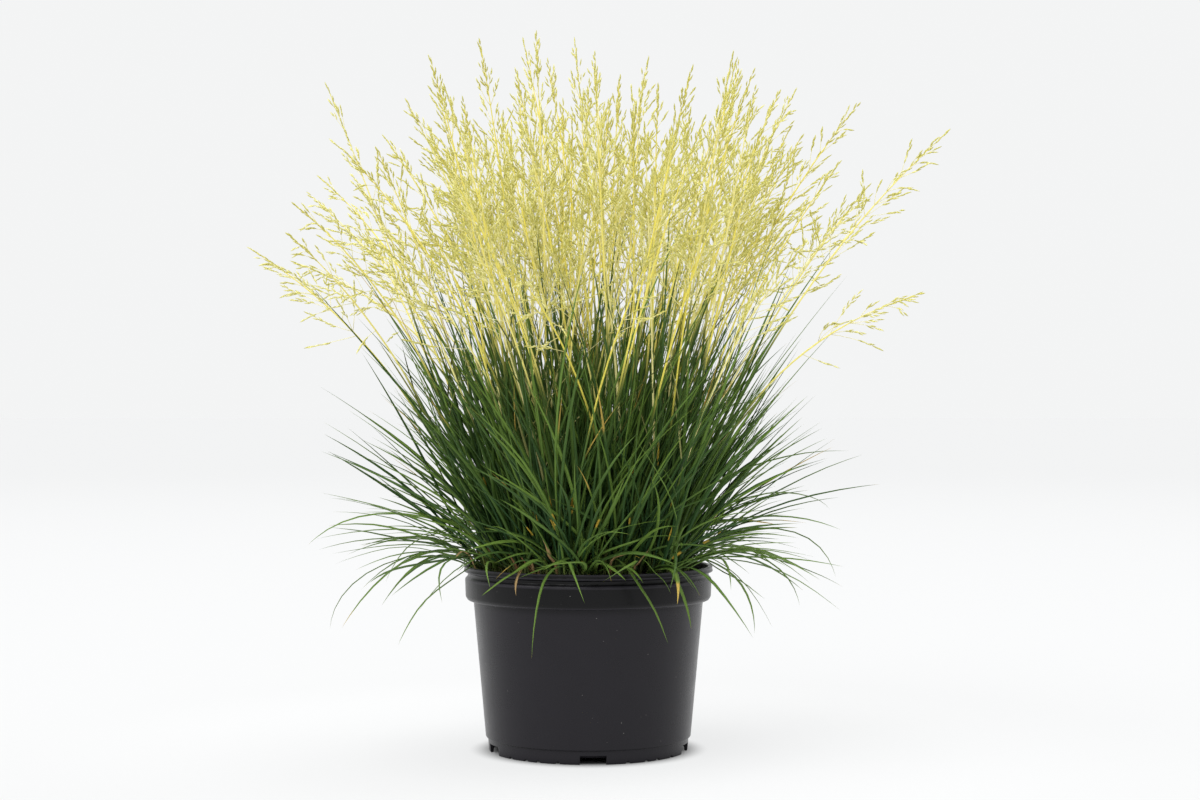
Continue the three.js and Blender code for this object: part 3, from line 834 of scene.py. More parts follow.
def pot_turns(sides):
    """The angles of the pot's columns: even ones, close pairs at the notches' sides and more in nicks."""
    turns = [np.arange(sides) / sides * 360]
    half_notch = NOTCH_WIDTH / 2 / FOOT_RADIUS / DEGREE
    half_nick = NICK_WIDTH / 2 / FOOT_RADIUS / DEGREE
    for i in range(NOTCHES):
        start = NOTCH_TURN + i * 360 / NOTCHES
        turns.append(start + np.array([-1, -1, 1, 1]) * half_notch + np.array([-0.12, 0.02, -0.02, 0.12]))
        turns += [start + offset + half_nick * np.cos(np.linspace(0, math.pi, 9)) for offset in NICK_OFFSETS]
    return np.unique(np.round(np.concatenate(turns) % 360, 4)) * DEGREE


def turned(profile, turns):
    """A profile of (radius, height), which is (rows, columns, 2) and may vary with the angle, carried round
    the axis: x and y are the radius times the cosine and sine of the angle."""
    radius, height = profile[..., 0], profile[..., 1]
    points = vectors(radius * np.cos(turns), radius * np.sin(turns), height).reshape(-1, 3)
    rows, columns = len(profile) - 1, len(turns)
    row, column = np.meshgrid(np.arange(rows), np.arange(columns), indexing="ij")
    a, b = row * columns + column, row * columns + (column + 1) % columns
    faces = np.stack([a, b, b + columns, a, b + columns, a + columns], -1).reshape(-1, 3)
    u = np.stack([column, column + 1, column + 1, column, column + 1, column], -1) / columns
    v = np.stack([row, row, row + 1, row, row + 1, row + 1], -1) / rows
    return points, faces, np.stack([u, v], -1).reshape(-1, 3, 2)


class GRASS_OT_pot(bpy.types.Operator):
    """Turns the pot, with its collar, grooved lip, and notched foot"""

    bl_idname = "grass.pot"
    bl_label = "Pot"

    def execute(self, context):
        sizes = context.scene.grass_pot
        outside = [
            (0.01, FLOOR_BOTTOM),
            (FOOT_RADIUS - NOTCH_DEPTH - 0.2, FLOOR_BOTTOM),
            (FOOT_RADIUS - NOTCH_DEPTH + 0.2, FLOOR_BOTTOM),
            (FOOT_RADIUS - FOOT_WALL, FLOOR_BOTTOM),
            (FOOT_RADIUS - FOOT_WALL + 0.2, 0),
            (FOOT_RADIUS - 0.8, 0),
            (FOOT_RADIUS - 0.6, NICK_HEIGHT + 0.4),
            (FOOT_RADIUS - 0.5, NICK_HEIGHT + 1.4),
            (FOOT_RADIUS - 0.2, NOTCH_HEIGHT + 0.8),
            (FOOT_RADIUS, FOOT_HEIGHT),
            (BODY_BOTTOM_RADIUS, FOOT_HEIGHT + 0.5),
            (BODY_TOP_RADIUS, COLLAR_BOTTOM),
            (COLLAR_RADIUS - 2, COLLAR_BOTTOM + 0.4),
            (COLLAR_RADIUS - 0.4, COLLAR_BOTTOM + 3),
            (COLLAR_RADIUS, COLLAR_BOTTOM + 16.4),
            (GROOVE_RADIUS, COLLAR_BOTTOM + 18.6),
            (GROOVE_RADIUS, COLLAR_BOTTOM + 21.0),
            (LIP_RADIUS, COLLAR_BOTTOM + 22.0),
            (LIP_RADIUS - 0.7, COLLAR_BOTTOM + 24.0),
            (LIP_RADIUS - 0.3, POT_HEIGHT),
            (INNER_COLLAR, POT_HEIGHT),
            (INNER_COLLAR, COLLAR_BOTTOM + WALL + 1),
            (BODY_TOP_RADIUS - WALL, COLLAR_BOTTOM + WALL),
            (BODY_BOTTOM_RADIUS - WALL, FLOOR_TOP + 6),
            (BODY_BOTTOM_RADIUS - 6, FLOOR_TOP),
            (0.01, FLOOR_TOP),
        ]
        profile = rounded(outside, ROUNDING)
        turns = pot_turns(sizes.sides)
        notch, nick = foot_cut(turns)
        radius, height = profile[:, :1], profile[:, 1:]
        low = height < NOTCH_HEIGHT
        foot = low & (radius > FOOT_RADIUS - FOOT_WALL - 0.5) & (radius < FOOT_RADIUS + 0.1)
        early = np.arange(len(profile))[:, None] < UNDERSIDE_ROWS
        under = low & (radius > FOOT_RADIUS - NOTCH_DEPTH) & ~foot & early
        height = np.where(foot, np.maximum(height, np.maximum(notch, nick)[None]), height)
        height = np.where(under, np.maximum(height, np.minimum(notch, FLOOR_TOP - 0.8)[None]), height)
        piece = Piece("nursery_pot")
        piece.add(*turned(np.stack(np.broadcast_arrays(radius, height), -1), turns))
        piece.make(pot_plastic(sizes), "pot", "pot")
        return {"FINISHED"}


def pot_plastic(sizes):
    """Satin black plastic: faint mottling, a fine grain, pale specks of dust, lighter bands at the moulded
    edges that are painted highlights, and a darker collar that is painted shade.
    """
    finish = Finish("pot_plastic", **{"Specular IOR Level": 0.20})
    place = finish.place()
    mottle = finish.noise(place, 60, 3)
    grain = finish.noise(place, 1500, 2)
    spots = finish.node("ShaderNodeTexVoronoi", {}, {"Vector": place, "Scale": 150.0})
    patch = finish.noise(place, 14, 1)
    size = 0.025 + 0.055 * patch.step(0.45, 0.75)
    speck = (1 - finish.out(spots, "Distance") / size).step(0.0, 0.4) * patch.step(0.46, 0.56)
    height = finish.out(finish.node("ShaderNodeSeparateXYZ", {}, {0: place}), 2)
    body = finish.mixed(0.3 * mottle, sizes.plastic, shaded(sizes.plastic, 1.6))
    # Above about 0.11 m the pot takes the collar's darker colour: painted shade.
    colour = finish.mixed(height.step(0.108, 0.118), body, sizes.collar)
    # Thin bands at the collar's lower edge, its shoulder and the lip's two edges are painted lighter:
    # painted highlights.
    painted_highlight = 0
    for low, high in PAINTED_HIGHLIGHT_EDGES:
        above, below = height.step(low - PAINTED_HIGHLIGHT_SOFTNESS, low), height.step(high, high + PAINTED_HIGHLIGHT_SOFTNESS)
        painted_highlight = painted_highlight + above * (1 - below)
    colour = finish.mixed(painted_highlight * (0.5 + mottle), colour, shaded(sizes.plastic, 1.5))
    colour = finish.mixed(0.55 * speck, colour, sizes.dust)
    finish.feed(Base_Color=colour, Roughness=0.17 + 0.14 * mottle + 0.10 * grain + 0.2 * speck)
    finish.bump(grain + 0.6 * mottle, 0.00012, 0.7)
    return finish.material


class GRASS_OT_soil(bpy.types.Operator):
    """Fills the pot with peat, with an uneven top and loose crumbs"""

    bl_idname = "grass.soil"
    bl_label = "Soil"

    def execute(self, context):
        sizes = context.scene.grass_soil
        turns = np.arange(SOIL_SIDES) / SOIL_SIDES * TURN
        out = np.linspace(SOIL_RADIUS, 0.5, SOIL_ROWS)[:, None]
        x, y = out * np.cos(turns), out * np.sin(turns)
        # Lumps: products of two waves across the soil, whose crests sway in the other direction
        rough = 0.9 * np.sin(x / 4.1 + 2 * np.sin(y / 6.3)) * np.sin(y / 3.7 + 1.5 * np.sin(x / 7.9))
        rough = rough + 0.5 * np.sin(x / 1.9 + y / 2.3) * np.sin(y / 1.7 - x / 2.9)
        rough = rough * (out < SOIL_RADIUS - 1)
        top = np.stack(np.broadcast_arrays(out, self.rise(out) + rough - 0.6), -1)
        wall = WALL + GAP
        side = [
            (0.01, FLOOR_TOP + GAP),
            (BODY_BOTTOM_RADIUS - wall - 6, FLOOR_TOP + GAP),
            (BODY_BOTTOM_RADIUS - wall - 0.4, FLOOR_TOP + GAP + 6.4),
            (BODY_TOP_RADIUS - wall, COLLAR_BOTTOM + wall),
            (SOIL_RADIUS, COLLAR_BOTTOM + wall + 1.2),
        ]
        side = np.broadcast_to(np.array(side)[:, None], (len(side), len(turns), 2))
        piece = Piece("peat")
        points, faces, places = turned(np.concatenate([side, top]), turns)
        piece.add(points, faces, places * [1, SOIL_MAP], crumb=0.0)
        piece.add(*self.crumbs(sizes.crumbs), crumb=1.0)
        piece.make(peat(sizes), "soil", "soil")
        return {"FINISHED"}

    def rise(self, out):
        """The soil's height: it falls from the middle to the edge by a power of the share of the way."""
        return mix(SOIL_EDGE, SOIL_CENTRE, 1 - (out / SOIL_RADIUS) ** 1.6)

    def crumbs(self, count):
        """Crumbs strewn over the soil: four-sided spindles of random size and direction, part sunk in. Each
        has its own cell of the map, in rows above the soil's part."""
        number = np.arange(count)
        roll = draws(range(6), CRUMB_KIND, number)
        out, turn = (SOIL_RADIUS - 5) * np.sqrt(roll[0]), TURN * roll[1]
        middle = vectors(out * np.cos(turn), out * np.sin(turn), self.rise(out) + 0.3)
        along = leaning(mix(50, 90, roll[2]) * DEGREE, TURN * roll[3])
        across = unit(np.cross(along, UP + 0.01 * along))
        facing = np.cross(along, across)
        length, radius = mix(*CRUMB_LENGTHS, roll[4] ** 2), mix(*CRUMB_RADII, roll[5])
        t = np.array([-0.7, 0.0, 0.6])
        girth = np.array([0.7, 1.0, 0.6])
        angle = np.arange(4) / 4 * TURN + 0.4
        spokes = swung(across[:, None, None], facing[:, None, None], angle)
        half = along * length[:, None] / 2
        rings = middle[:, None, None] + half[:, None, None] * t[:, None, None]
        rings = rings + spokes * girth[:, None, None] * radius[:, None, None, None]
        cell = (1 - SOIL_MAP) / math.ceil(count / CRUMB_COLUMNS)
        left, breadth = number % CRUMB_COLUMNS / CRUMB_COLUMNS, 0.9 / CRUMB_COLUMNS
        ends, band = (middle - half, middle + half), (0.05 * cell, 0.95 * cell)
        points, faces, places = strand_mesh(rings, *ends, (t + 1) / 2, left, breadth, band)
        row = np.repeat(number // CRUMB_COLUMNS, len(faces) // count)
        places[..., 1] += (SOIL_MAP + cell * row)[:, None]
        return points, faces, places


def peat(sizes):
    """Damp dark peat, with paler crumbs and fibres."""
    finish = Finish("peat", **{"Specular IOR Level": 0.25, "Roughness": 0.92})
    place = finish.place()
    mottle = finish.noise(place, 260, 4)
    fibre = finish.noise(place, 1100, 2)
    share = 0.35 * mottle.step(0.45, 0.75) + 0.75 * finish.attribute("crumb") * mottle.step(0.3, 0.7)
    finish.feed(Base_Color=finish.mixed(share, sizes.peat, sizes.crumb))
    finish.bump(mottle + 0.5 * fibre, 0.0012)
    return finish.material


def blade_rings(curves, side, width, twist, wave):
    """Rings of a blade round its curve: an open V with six corners, whose half width is the blade's shape,
    drawn in to nothing at the tip. The V turns by the twist on the way, and the blade sways a little."""
    t = BLADE_STEPS
    across, facing, _ = curve_frames(curves, side, t)
    taper = 1 - np.clip((t - BLADE_TAPER) / (1 - BLADE_TAPER), 0, 1) ** 1.4
    half = width[:, None] / 2 * blade_shape(np.minimum(t, 0.6)) * taper
    turn = twist[:, None] * t**1.2
    across, facing = swung(across, facing, turn), swung(facing, -across, turn)
    sway = wave[:, None] * np.sin(t * 9 + width[:, None] * 7) * t * (1 - t) * 4
    middle = along_curves(curves, t) + facing * sway[..., None]
    u = np.array([-1, -0.5, 0, 0.5, 1, 0.0])
    lift = np.array([0.34, 0.02, -0.30, 0.02, 0.34, -0.10])
    offsets = across[:, :, None] * u[:, None] + facing[:, :, None] * lift[:, None]
    return middle[:, :, None] + offsets * half[..., None, None]


def add_blades(piece, roots, curves, side, width, twist, wave, tone, wither, left, breadth):
    """Adds blades from their roots in the soil through the rings along their curves."""
    rings = blade_rings(curves, side, width, twist, wave)
    foot = rings[:, :1] + (roots - curves[:, 0])[:, None, None]
    heights = np.concatenate([[0.02], 0.06 + 0.92 * BLADE_STEPS])
    rings = np.concatenate([foot, rings], 1)
    under, tips, look = roots - 0.5 * UP, curves[:, 2], {"tone": tone, "wither": wither}
    piece.add_strands(rings, under, tips, heights, left, breadth, (0, 1), **look)


def over_rim(curves):
    """Curves whose middle control point is raised, by three times the most that they lack, until they pass
    over the rim: that point pulls the curve along by half its own way at most."""
    points = along_curves(curves, np.linspace(0, 1, 25))
    out = np.hypot(points[..., 0], points[..., 1])
    meets = (out > INNER_COLLAR - 2) & (out < LIP_RADIUS + 2)
    lack = np.where(meets, POT_HEIGHT + 3 - points[..., 2], 0).clip(0).max(1)
    lifted = curves.copy()
    lifted[:, 1] += 3 * lack[:, None] * UP
    return lifted


def fine_leaves(clump, count):
    """Finer blades round a clump. Each leans out by how far out it stands in the pot, and a little to any
    side. Some by the edge hang over the rim, broad short ones cross the others, and a few thin ones are
    tall."""
    number = np.arange(count)
    roll = draws(range(15), FINE_LEAF_KIND, clump + 1, number)
    turn, out = TURN * roll[0], LEAF_SPREAD * np.sqrt(roll[1])
    x, y = CLUMP_X[clump] + out * np.cos(turn), CLUMP_Y[clump] + out * np.sin(turn)
    shrink = np.minimum(1, PLANTED_RADIUS / np.hypot(x, y))
    x, y = x * shrink, y * shrink
    share, azimuth = np.hypot(x, y) / PLANTED_RADIUS, np.arctan2(y, x)
    opening = mix(0.12, 1, share**1.2) * roll[2] ** 0.8
    hangs = (share > 0.8) & (roll[3] < 0.14)
    crosses = (roll[3] > 0.14) & (roll[3] < 0.30) & (share > 0.45)
    tall = (roll[3] > 0.89) & (share < 0.85)
    opening = np.where(tall, 0.3 * opening, opening)
    spread = np.where(hangs, mix(44, 66, roll[4]), 3 + 46 * opening)
    splay = np.where(crosses, mix(16, 44, roll[5]), mix(0, 20, roll[5]))
    lean_x = spread * np.cos(azimuth) + splay * np.cos(TURN * roll[12])
    lean_y = spread * np.sin(azimuth) + splay * np.sin(TURN * roll[12])
    lean, towards = np.hypot(lean_x, lean_y), np.arctan2(lean_y, lean_x) + (roll[13] - 0.5) * 1.1
    bend = np.where(hangs, mix(20, 80, roll[6]), 4 + 16 * roll[6] + 70 * opening**1.5 * roll[11])
    bend = np.where(crosses, mix(18, 70, roll[6]), bend)
    length = mix(*FINE_LEAF_LENGTHS, opening**0.8) * mix(0.6, 1.05, roll[7] ** 0.6)
    length = np.where(hangs, mix(*FINE_HANGING_LENGTHS, roll[7]), length)
    length = np.where(tall, mix(*TALL_LENGTHS, roll[7]), length)
    length = np.where(crosses, mix(*CROSSING_LENGTHS, roll[7]), length)
    width = np.where(tall, TALL_WIDTH, mix(*FINE_LEAF_WIDTHS, roll[8] ** 1.2))
    width = np.where(crosses, mix(*CROSSING_WIDTHS, roll[8]), width)
    roots = vectors(x, y, ROOT_DEPTH)
    lift = vectors(x, y, BASE_TOP - 2 + 6 * roll[9])
    first = leaning(lean * DEGREE, towards)
    second = leaning((lean + bend) * DEGREE, towards + 2.2 * (roll[10] - 0.5))
    curves = over_rim(bow(lift, first, length * 0.43, second, length * 0.57))
    side = vectors(-np.sin(towards), np.cos(towards), 0) + 0.8 * leaning(90 * DEGREE, TURN * roll[14])
    return roots, curves, side, width


class GRASS_OT_leaves(bpy.types.Operator):
    """Grows the leaf blades of each clump: those of the solids, and finer ones between them"""

    bl_idname = "grass.leaves"
    bl_label = "Leaf blades"

    def execute(self, context):
        sizes = context.scene.grass_leaves
        material = leaf_green(sizes)
        for clump, strands in enumerate(main_plant()[1]):
            curves = np.array([strand.curve for strand in strands])
            roots = np.array([strand.root for strand in strands])
            roots[:, 2] = ROOT_DEPTH
            side = np.array([strand.side for strand in strands])
            width = np.array([2 * strand.rings[0][1] / blade_shape(0) for strand in strands])
            more = fine_leaves(clump, sizes.fine_leaves)
            both = zip((roots, curves, side, width), more)
            roots, curves, side, width = (np.concatenate(pair) for pair in both)
            count = len(curves)
            roll = draws(range(5), FINE_LEAF_KIND, clump + 1, BLADE_LOOK_KEY + np.arange(count))
            # Blades that reach far out or end low take a tone nearer 1, which is fresher green: painted
            # light, for the light these blades catch at the plant's edge.
            outer_painted_light = smooth(60, 190, np.hypot(curves[:, 2, 0], curves[:, 2, 1]))
            low = 1 - smooth(150, 230, curves[:, 2, 2])
            tone = mix(roll[2], 1, 0.4 * outer_painted_light + 0.35 * low)
            wither = np.where(roll[3] < 0.06, mix(0.10, 0.34, roll[4]), 0.05 * roll[4])
            left = np.arange(count) / COLUMNS
            piece = Piece(f"leaf_blades_{clump + 1:02d}")
            twist = (roll[0] - 0.5) * 2.4
            wave = (roll[1] - 0.5) * 1.6
            add_blades(piece, roots, curves, side, width, twist, wave, tone, wither, left, 1 / COLUMNS)
            piece.make(material, "leaves", f"leaves_{clump + 1:02d}")
        return {"FINISHED"}


def seen_at(x, y, depth):
    """The place of a point of the picture whose distance behind the pot's axis is known."""
    scale = PIXEL * (CAMERA_DISTANCE + depth) / CAMERA_DISTANCE
    return ((x - AXIS_COLUMN) * scale, depth, CAMERA_HEIGHT - (y - HORIZON_ROW) * scale)


# Blades that hang over the rim: three points each, as (x, y) in the picture and the depth, and the width
RIM_BLADES = (
    ((612, 556, -70), (641, 586, -104), (669, 644, -106), 3.6),
    ((652, 540, -50), (679, 585, -92), (692, 629, -98), 3.0),
    ((636, 556, -72), (655, 570, -100), (672, 594, -104), 1.8),
    ((655, 552, -60), (675, 566, -90), (695, 589, -96), 1.8),
    ((545, 556, -70), (512, 575, -102), (482, 596, -100), 3.0),
    ((606, 548, -60), (560, 562, -94), (520, 578, -104), 4.2),
    ((480, 552, -10), (408, 539, -30), (329, 527, -50), 3.6),
    ((486, 548, 10), (395, 538, 0), (318, 550, -10), 2.8),
    ((478, 540, -40), (383, 514, -90), (309, 545, -130), 2.4),
    ((484, 556, -30), (410, 566, -60), (370, 583, -80), 3.8),
    ((482, 546, 20), (371, 571, 10), (330, 630, 0), 2.4),
    ((486, 558, -30), (430, 598, -60), (399, 645, -70), 2.2),
    ((490, 556, -20), (447, 562, -50), (443, 603, -66), 2.0),
    ((482, 530, 0), (420, 540, -40), (386, 583, -60), 2.2),
    ((694, 556, -30), (740, 583, -52), (755, 634, -60), 2.4),
    ((692, 552, -20), (730, 575, -50), (766, 599, -70), 2.0),
    ((690, 548, 0), (766, 560, -20), (800, 606, -30), 3.2),
    ((688, 552, 20), (770, 558, 20), (843, 587, 10), 2.4),
    ((690, 540, 10), (790, 531, 0), (836, 578, -10), 3.0),
    ((690, 530, -20), (770, 516, -60), (842, 530, -90), 2.8),
    ((684, 520, 10), (780, 493, 0), (830, 510, 0), 2.4),
    ((690, 500, -20), (765, 462, -60), (850, 451, -100), 2.6),
)
# Dry pieces at the rim, in the same way
DRY_BLADES = (
    ((556, 566, -74), (549, 553, -80), (543, 538, -84), 4.6),
    ((532, 560, -80), (519, 576, -99), (517, 596, -101), 2.2),
    ((574, 560, -70), (586, 543, -74), (598, 540, -78), 3.0),
    ((612, 562, -74), (620, 556, -78), (634, 553, -80), 3.4),
    ((470, 556, -30), (462, 552, -34), (455, 560, -40), 2.4),
    ((636, 566, -72), (642, 560, -76), (650, 548, -78), 2.2),
)


class GRASS_OT_edge(bpy.types.Operator):
    """Adds the blades that hang over the rim, and the dry thatch between the clumps"""

    bl_idname = "grass.edge"
    bl_label = "Rim blades and thatch"

    def execute(self, context):
        sizes = context.scene.grass_leaves
        green = self.traced("rim_blades", RIM_BLADES, 0.02, 1 / len(RIM_BLADES))
        green.make(leaf_green(sizes), "leaves")
        dry = self.traced("dry_thatch", DRY_BLADES, 1.0, 1 / COLUMNS)
        self.thatch(dry, sizes.thatch)
        dry.make(dry_straw(), "leaves")
        return {"FINISHED"}

    def traced(self, name, blades, wither, breadth):
        """Blades through their three points: the middle control point of each curve is twice the second
        point less the mean of the others."""
        start, middle, end = (np.array([seen_at(*blade[i]) for blade in blades]) for i in range(3))
        curves = np.stack([start, 2 * middle - (start + end) / 2, end], 1)
        roots = start * [0.88, 0.88, 0] + [0, 0, ROOT_DEPTH]
        key = np.arange(len(blades))
        roll = draws(range(4), LITTER_KIND, key)
        out = unit((end - start) * [1, 1, 0])
        side = np.stack([-out[:, 1], out[:, 0], 0.5 * (roll[0] - 0.5)], 1)
        width = np.array([blade[3] for blade in blades]) / blade_shape(0.35)
        piece = Piece(name)
        # Rim blades take a tone near the top of the range. This makes the green ones fresh green, painted
        # light for the light they catch over the rim, and the dry ones pale straw.
        tone, wither = mix(0.74, 1.0, roll[1]), np.full(len(blades), wither)
        left, twist, wave = key * breadth, roll[2] - 0.5, roll[3]
        add_blades(piece, roots, curves, side, width, twist, wave, tone, wither, left, breadth)
        return piece

    def thatch(self, piece, count):
        """Short dry blades that lie between the clumps, rooted in the soil."""
        roll = draws(range(10), LITTER_KIND, THATCH_KEY + np.arange(count))
        out, turn = THATCH_RADIUS * np.sqrt(roll[0]), TURN * roll[1]
        roots = vectors(out * np.cos(turn), out * np.sin(turn), ROOT_DEPTH)
        start = roots + [0, 0, 6]
        lean, towards = mix(20, 84, roll[2]) * DEGREE, TURN * roll[3]
        length = mix(*THATCH_LENGTHS, roll[4]) * np.where(out > THATCH_OPEN, 0.4, 1)
        first = leaning(lean, towards)
        second = leaning(lean + mix(-20, 30, roll[5]) * DEGREE, towards + 2 * (roll[6] - 0.5))
        curves = bow(start, first, length / 2, second, length / 2)
        side = vectors(-np.sin(towards), np.cos(towards), roll[7] - 0.5)
        width = mix(*THATCH_WIDTHS, roll[8])
        column = len(DRY_BLADES) + np.arange(count) % (COLUMNS - len(DRY_BLADES))
        tone, wither, wave = draw(LITTER_KIND, column, TONE_KEY), np.ones(count), np.zeros(count)
        left, twist = column / COLUMNS, 3 * (roll[9] - 0.5)
        add_blades(piece, roots, curves, side, width, twist, wave, tone, wither, left, 1 / COLUMNS)


def dry_straw():
    """Dead blades: straw to brown by their tone, streaked along the fibres."""
    finish = Finish("dry_straw", **{"Specular IOR Level": 0.2})
    across, along = finish.mapped()
    tone = finish.attribute("tone")
    fibre = finish.noise(finish.point(across * 700, along * 4, tone * 40), 1.0, 2)
    colour = finish.mixed(tone, STRAW_BROWN, STRAW_PALE)
    colour = finish.mixed(0.6 * fibre.step(0.4, 0.75), colour, STRAW_DARK)
    finish.feed(Base_Color=colour, Roughness=0.62 + 0.2 * fibre)
    return finish.material


def leaf_green(sizes):
    """Living blades: deep, blue or fresh green by their tone, streaked along the fibres, paler at the foot,
    and dry at the tip as far as they wither. They turn fresher towards the tip, which is painted light, and
    the tone of outer and low blades carries painted light as well."""
    finish = Finish("leaf_green", **{"Specular IOR Level": 0.22})
    across, along = finish.mapped()
    tone, wither = finish.attribute("tone"), finish.attribute("wither")
    fibre = finish.noise(finish.point(across * 700, along * 3, tone * 40), 1.0, 2)
    blotch = finish.noise(finish.point(across * 64, along * 9, tone * 40), 1.0, 2)
    colour = finish.mixed(tone.step(0.30, 0.62), sizes.deep, sizes.blue)
    # Fresh green by tone, and towards the tip of every blade: painted light on the thin tips.
    colour = finish.mixed(0.75 * tone.step(0.58, 0.98) + 0.5 * along * along, colour, sizes.fresh)
    patch = finish.noise(finish.point(tone * 97, along * 4), 1.0, 0).step(0.745, 0.76)
    colour = finish.mixed(patch * (1 - along.step(0.35, 0.5)), colour, sizes.sheath)
    dark = shaded(sizes.deep, 0.45)
    colour = finish.mixed(0.45 * fibre.step(0.45, 0.75), colour, dark)
    colour = finish.mixed(0.35 * (1 - along.step(0.02, 0.16)), colour, BLADE_FOOT)
    edge = 1.02 - wither * 1.05
    dry = (along - edge + 0.25 * (blotch - 0.5)).step(-0.04, 0.06)
    colour = finish.mixed(dry, colour, sizes.dry)
    finish.feed(Base_Color=colour, Roughness=0.46 + 0.18 * fibre + 0.2 * dry)
    return finish.material


def fine_stems(clump, count):
    """Finer flowering stems of a clump. Of a few tries, one whose tip is in bounds is taken: the first for
    odd ones, and for the others the one whose head has the fewest main heads in front or behind."""
    number = np.arange(count)[:, None]
    tries = np.arange(FINE_STEM_TRIES)[None]
    roll = draws(range(7), FINE_STEM_KIND, clump + 1, number, tries)
    share, azimuth = SHARE[clump], AZIMUTH[clump]
    turn, out = TURN * roll[5], STEM_SPREAD * np.sqrt(roll[6])
    towards = azimuth + (2 * roll[0] - 1) * math.pi * mix(1, 0.33, share)
    lean = (1.5 + (4 + 18 * share) * roll[1] ** 0.8) * DEGREE
    bend = (3 + 46 * share * roll[2] ** 1.2) * DEGREE
    length = mix(*FINE_STEM_LENGTHS, roll[3] ** 1.1) * mix(1.02, 0.95, share)
    short = (number == 0) & (draw(FINE_STEM_KIND, clump + 1, SHORT_KEY) < 0.4)
    length = length * np.where(short, SHORT_SHARE, 1)
    nods = (number % 2 == 1) & (share > 0.6) & ((number == 1) | (CLUMP_X[clump] < 0))
    lean = np.where(nods, (12 + 16 * roll[1]) * share * DEGREE, lean)
    bend = np.where(nods, (24 + 50 * roll[2]) * share * DEGREE, bend)
    root = vectors(CLUMP_X[clump] + out * np.cos(turn), CLUMP_Y[clump] + out * np.sin(turn), BASE_TOP)
    first, second = leaning(lean, towards), leaning(lean + bend, towards + (roll[4] - 0.5) * 0.6)
    curves = bow(root + SHEATH * UP, first, length * 0.55, second, length * 0.45)
    tip, low, high = curves[:, :, 2], np.array(CAD_BOX[0]) / MM, np.array(CAD_BOX[1]) / MM
    inside = ((tip > low - BOX_MARGIN) & (tip < high + BOX_MARGIN)).all(-1) & (tip[..., 2] > LOWEST_TIP)
    stems = np.array([stem.curve for group in main_plant()[0] for stem in group])
    heads = along_curves(stems, [HEAD_MIDDLE])[:, 0, 0]
    mine = along_curves(curves, [HEAD_MIDDLE])[..., 0, 0]
    crowd = np.exp(-(((mine[..., None] - heads) / CROWD_REACH) ** 2)).sum(-1)
    crowd = crowd + CROWD_FINE * (np.abs(mine) > CROWD_HALF)
    pick = (np.where(number % 2 == 0, crowd, tries) + OUTSIDE_FINE * ~inside).argmin(1)
    rows = np.arange(count)
    side = leaning(90 * DEGREE, turn)
    return curves[rows, pick], side[rows, pick]


def fine_sprays(curves, side, keys):
    """Finer side sprays, between and below the main ones: (stems, sprays) curves, drawn as the main ones.
    Those of a stem that leans out hang down a little."""
    nodes = np.repeat(FINE_NODES, FINE_NODE_SPRAYS)
    place = np.arange(len(nodes))
    roll = draws(range(5), HEAD_KIND, keys[:, None], place)
    height = np.clip((nodes - NODES[0]) / (NODES[-1] - NODES[0]), 0, 1.3)
    across, facing, along = curve_frames(curves, side, nodes)
    turn = (place * SPRAY_TURN + 90 * roll[0]) * DEGREE
    out = swung(across, facing, turn)
    opening = mix(54, 28, height) * mix(0.6, 1.2, roll[1]) * DEGREE
    length = mix(*FINE_SPRAY_LENGTHS, height) * mix(0.55, 1.12, roll[2])
    rise = opening * mix(0.4, 1.1, roll[3])
    droop = (0.1 + 1.3 * (1 - along[..., 2:] ** 2)) * roll[4][..., None]
    second = unit(swung(along, out, rise) - droop * UP)
    return bow(along_curves(curves, nodes), swung(along, out, opening), length * 0.5, second, length * 0.5)


def spindle(base, along, across, length, radius, bend):
    """A spikelet: rings of three points that start thin at its stalk, swell to the radius at two fifths and
    draw in towards the tip. The middle line curves over by the bend times the square of the way."""
    facing = np.cross(along, across)
    t = np.array([0.06, 0.40, 0.78])
    girth = np.array([0.28, 1.0, 0.62])
    angle = np.arange(3) / 3 * TURN
    spokes = swung(across[:, None], facing[:, None], angle)
    middle = base[:, None] + along[:, None] * (t * length[:, None])[..., None]
    middle = middle - across[:, None] * (bend[:, None] * t**2)[..., None]
    rings = middle[:, :, None] + spokes[:, None] * (girth * radius[:, None])[..., None, None]
    tip = base + along * length[:, None] - across * bend[:, None]
    return rings, base, tip, t


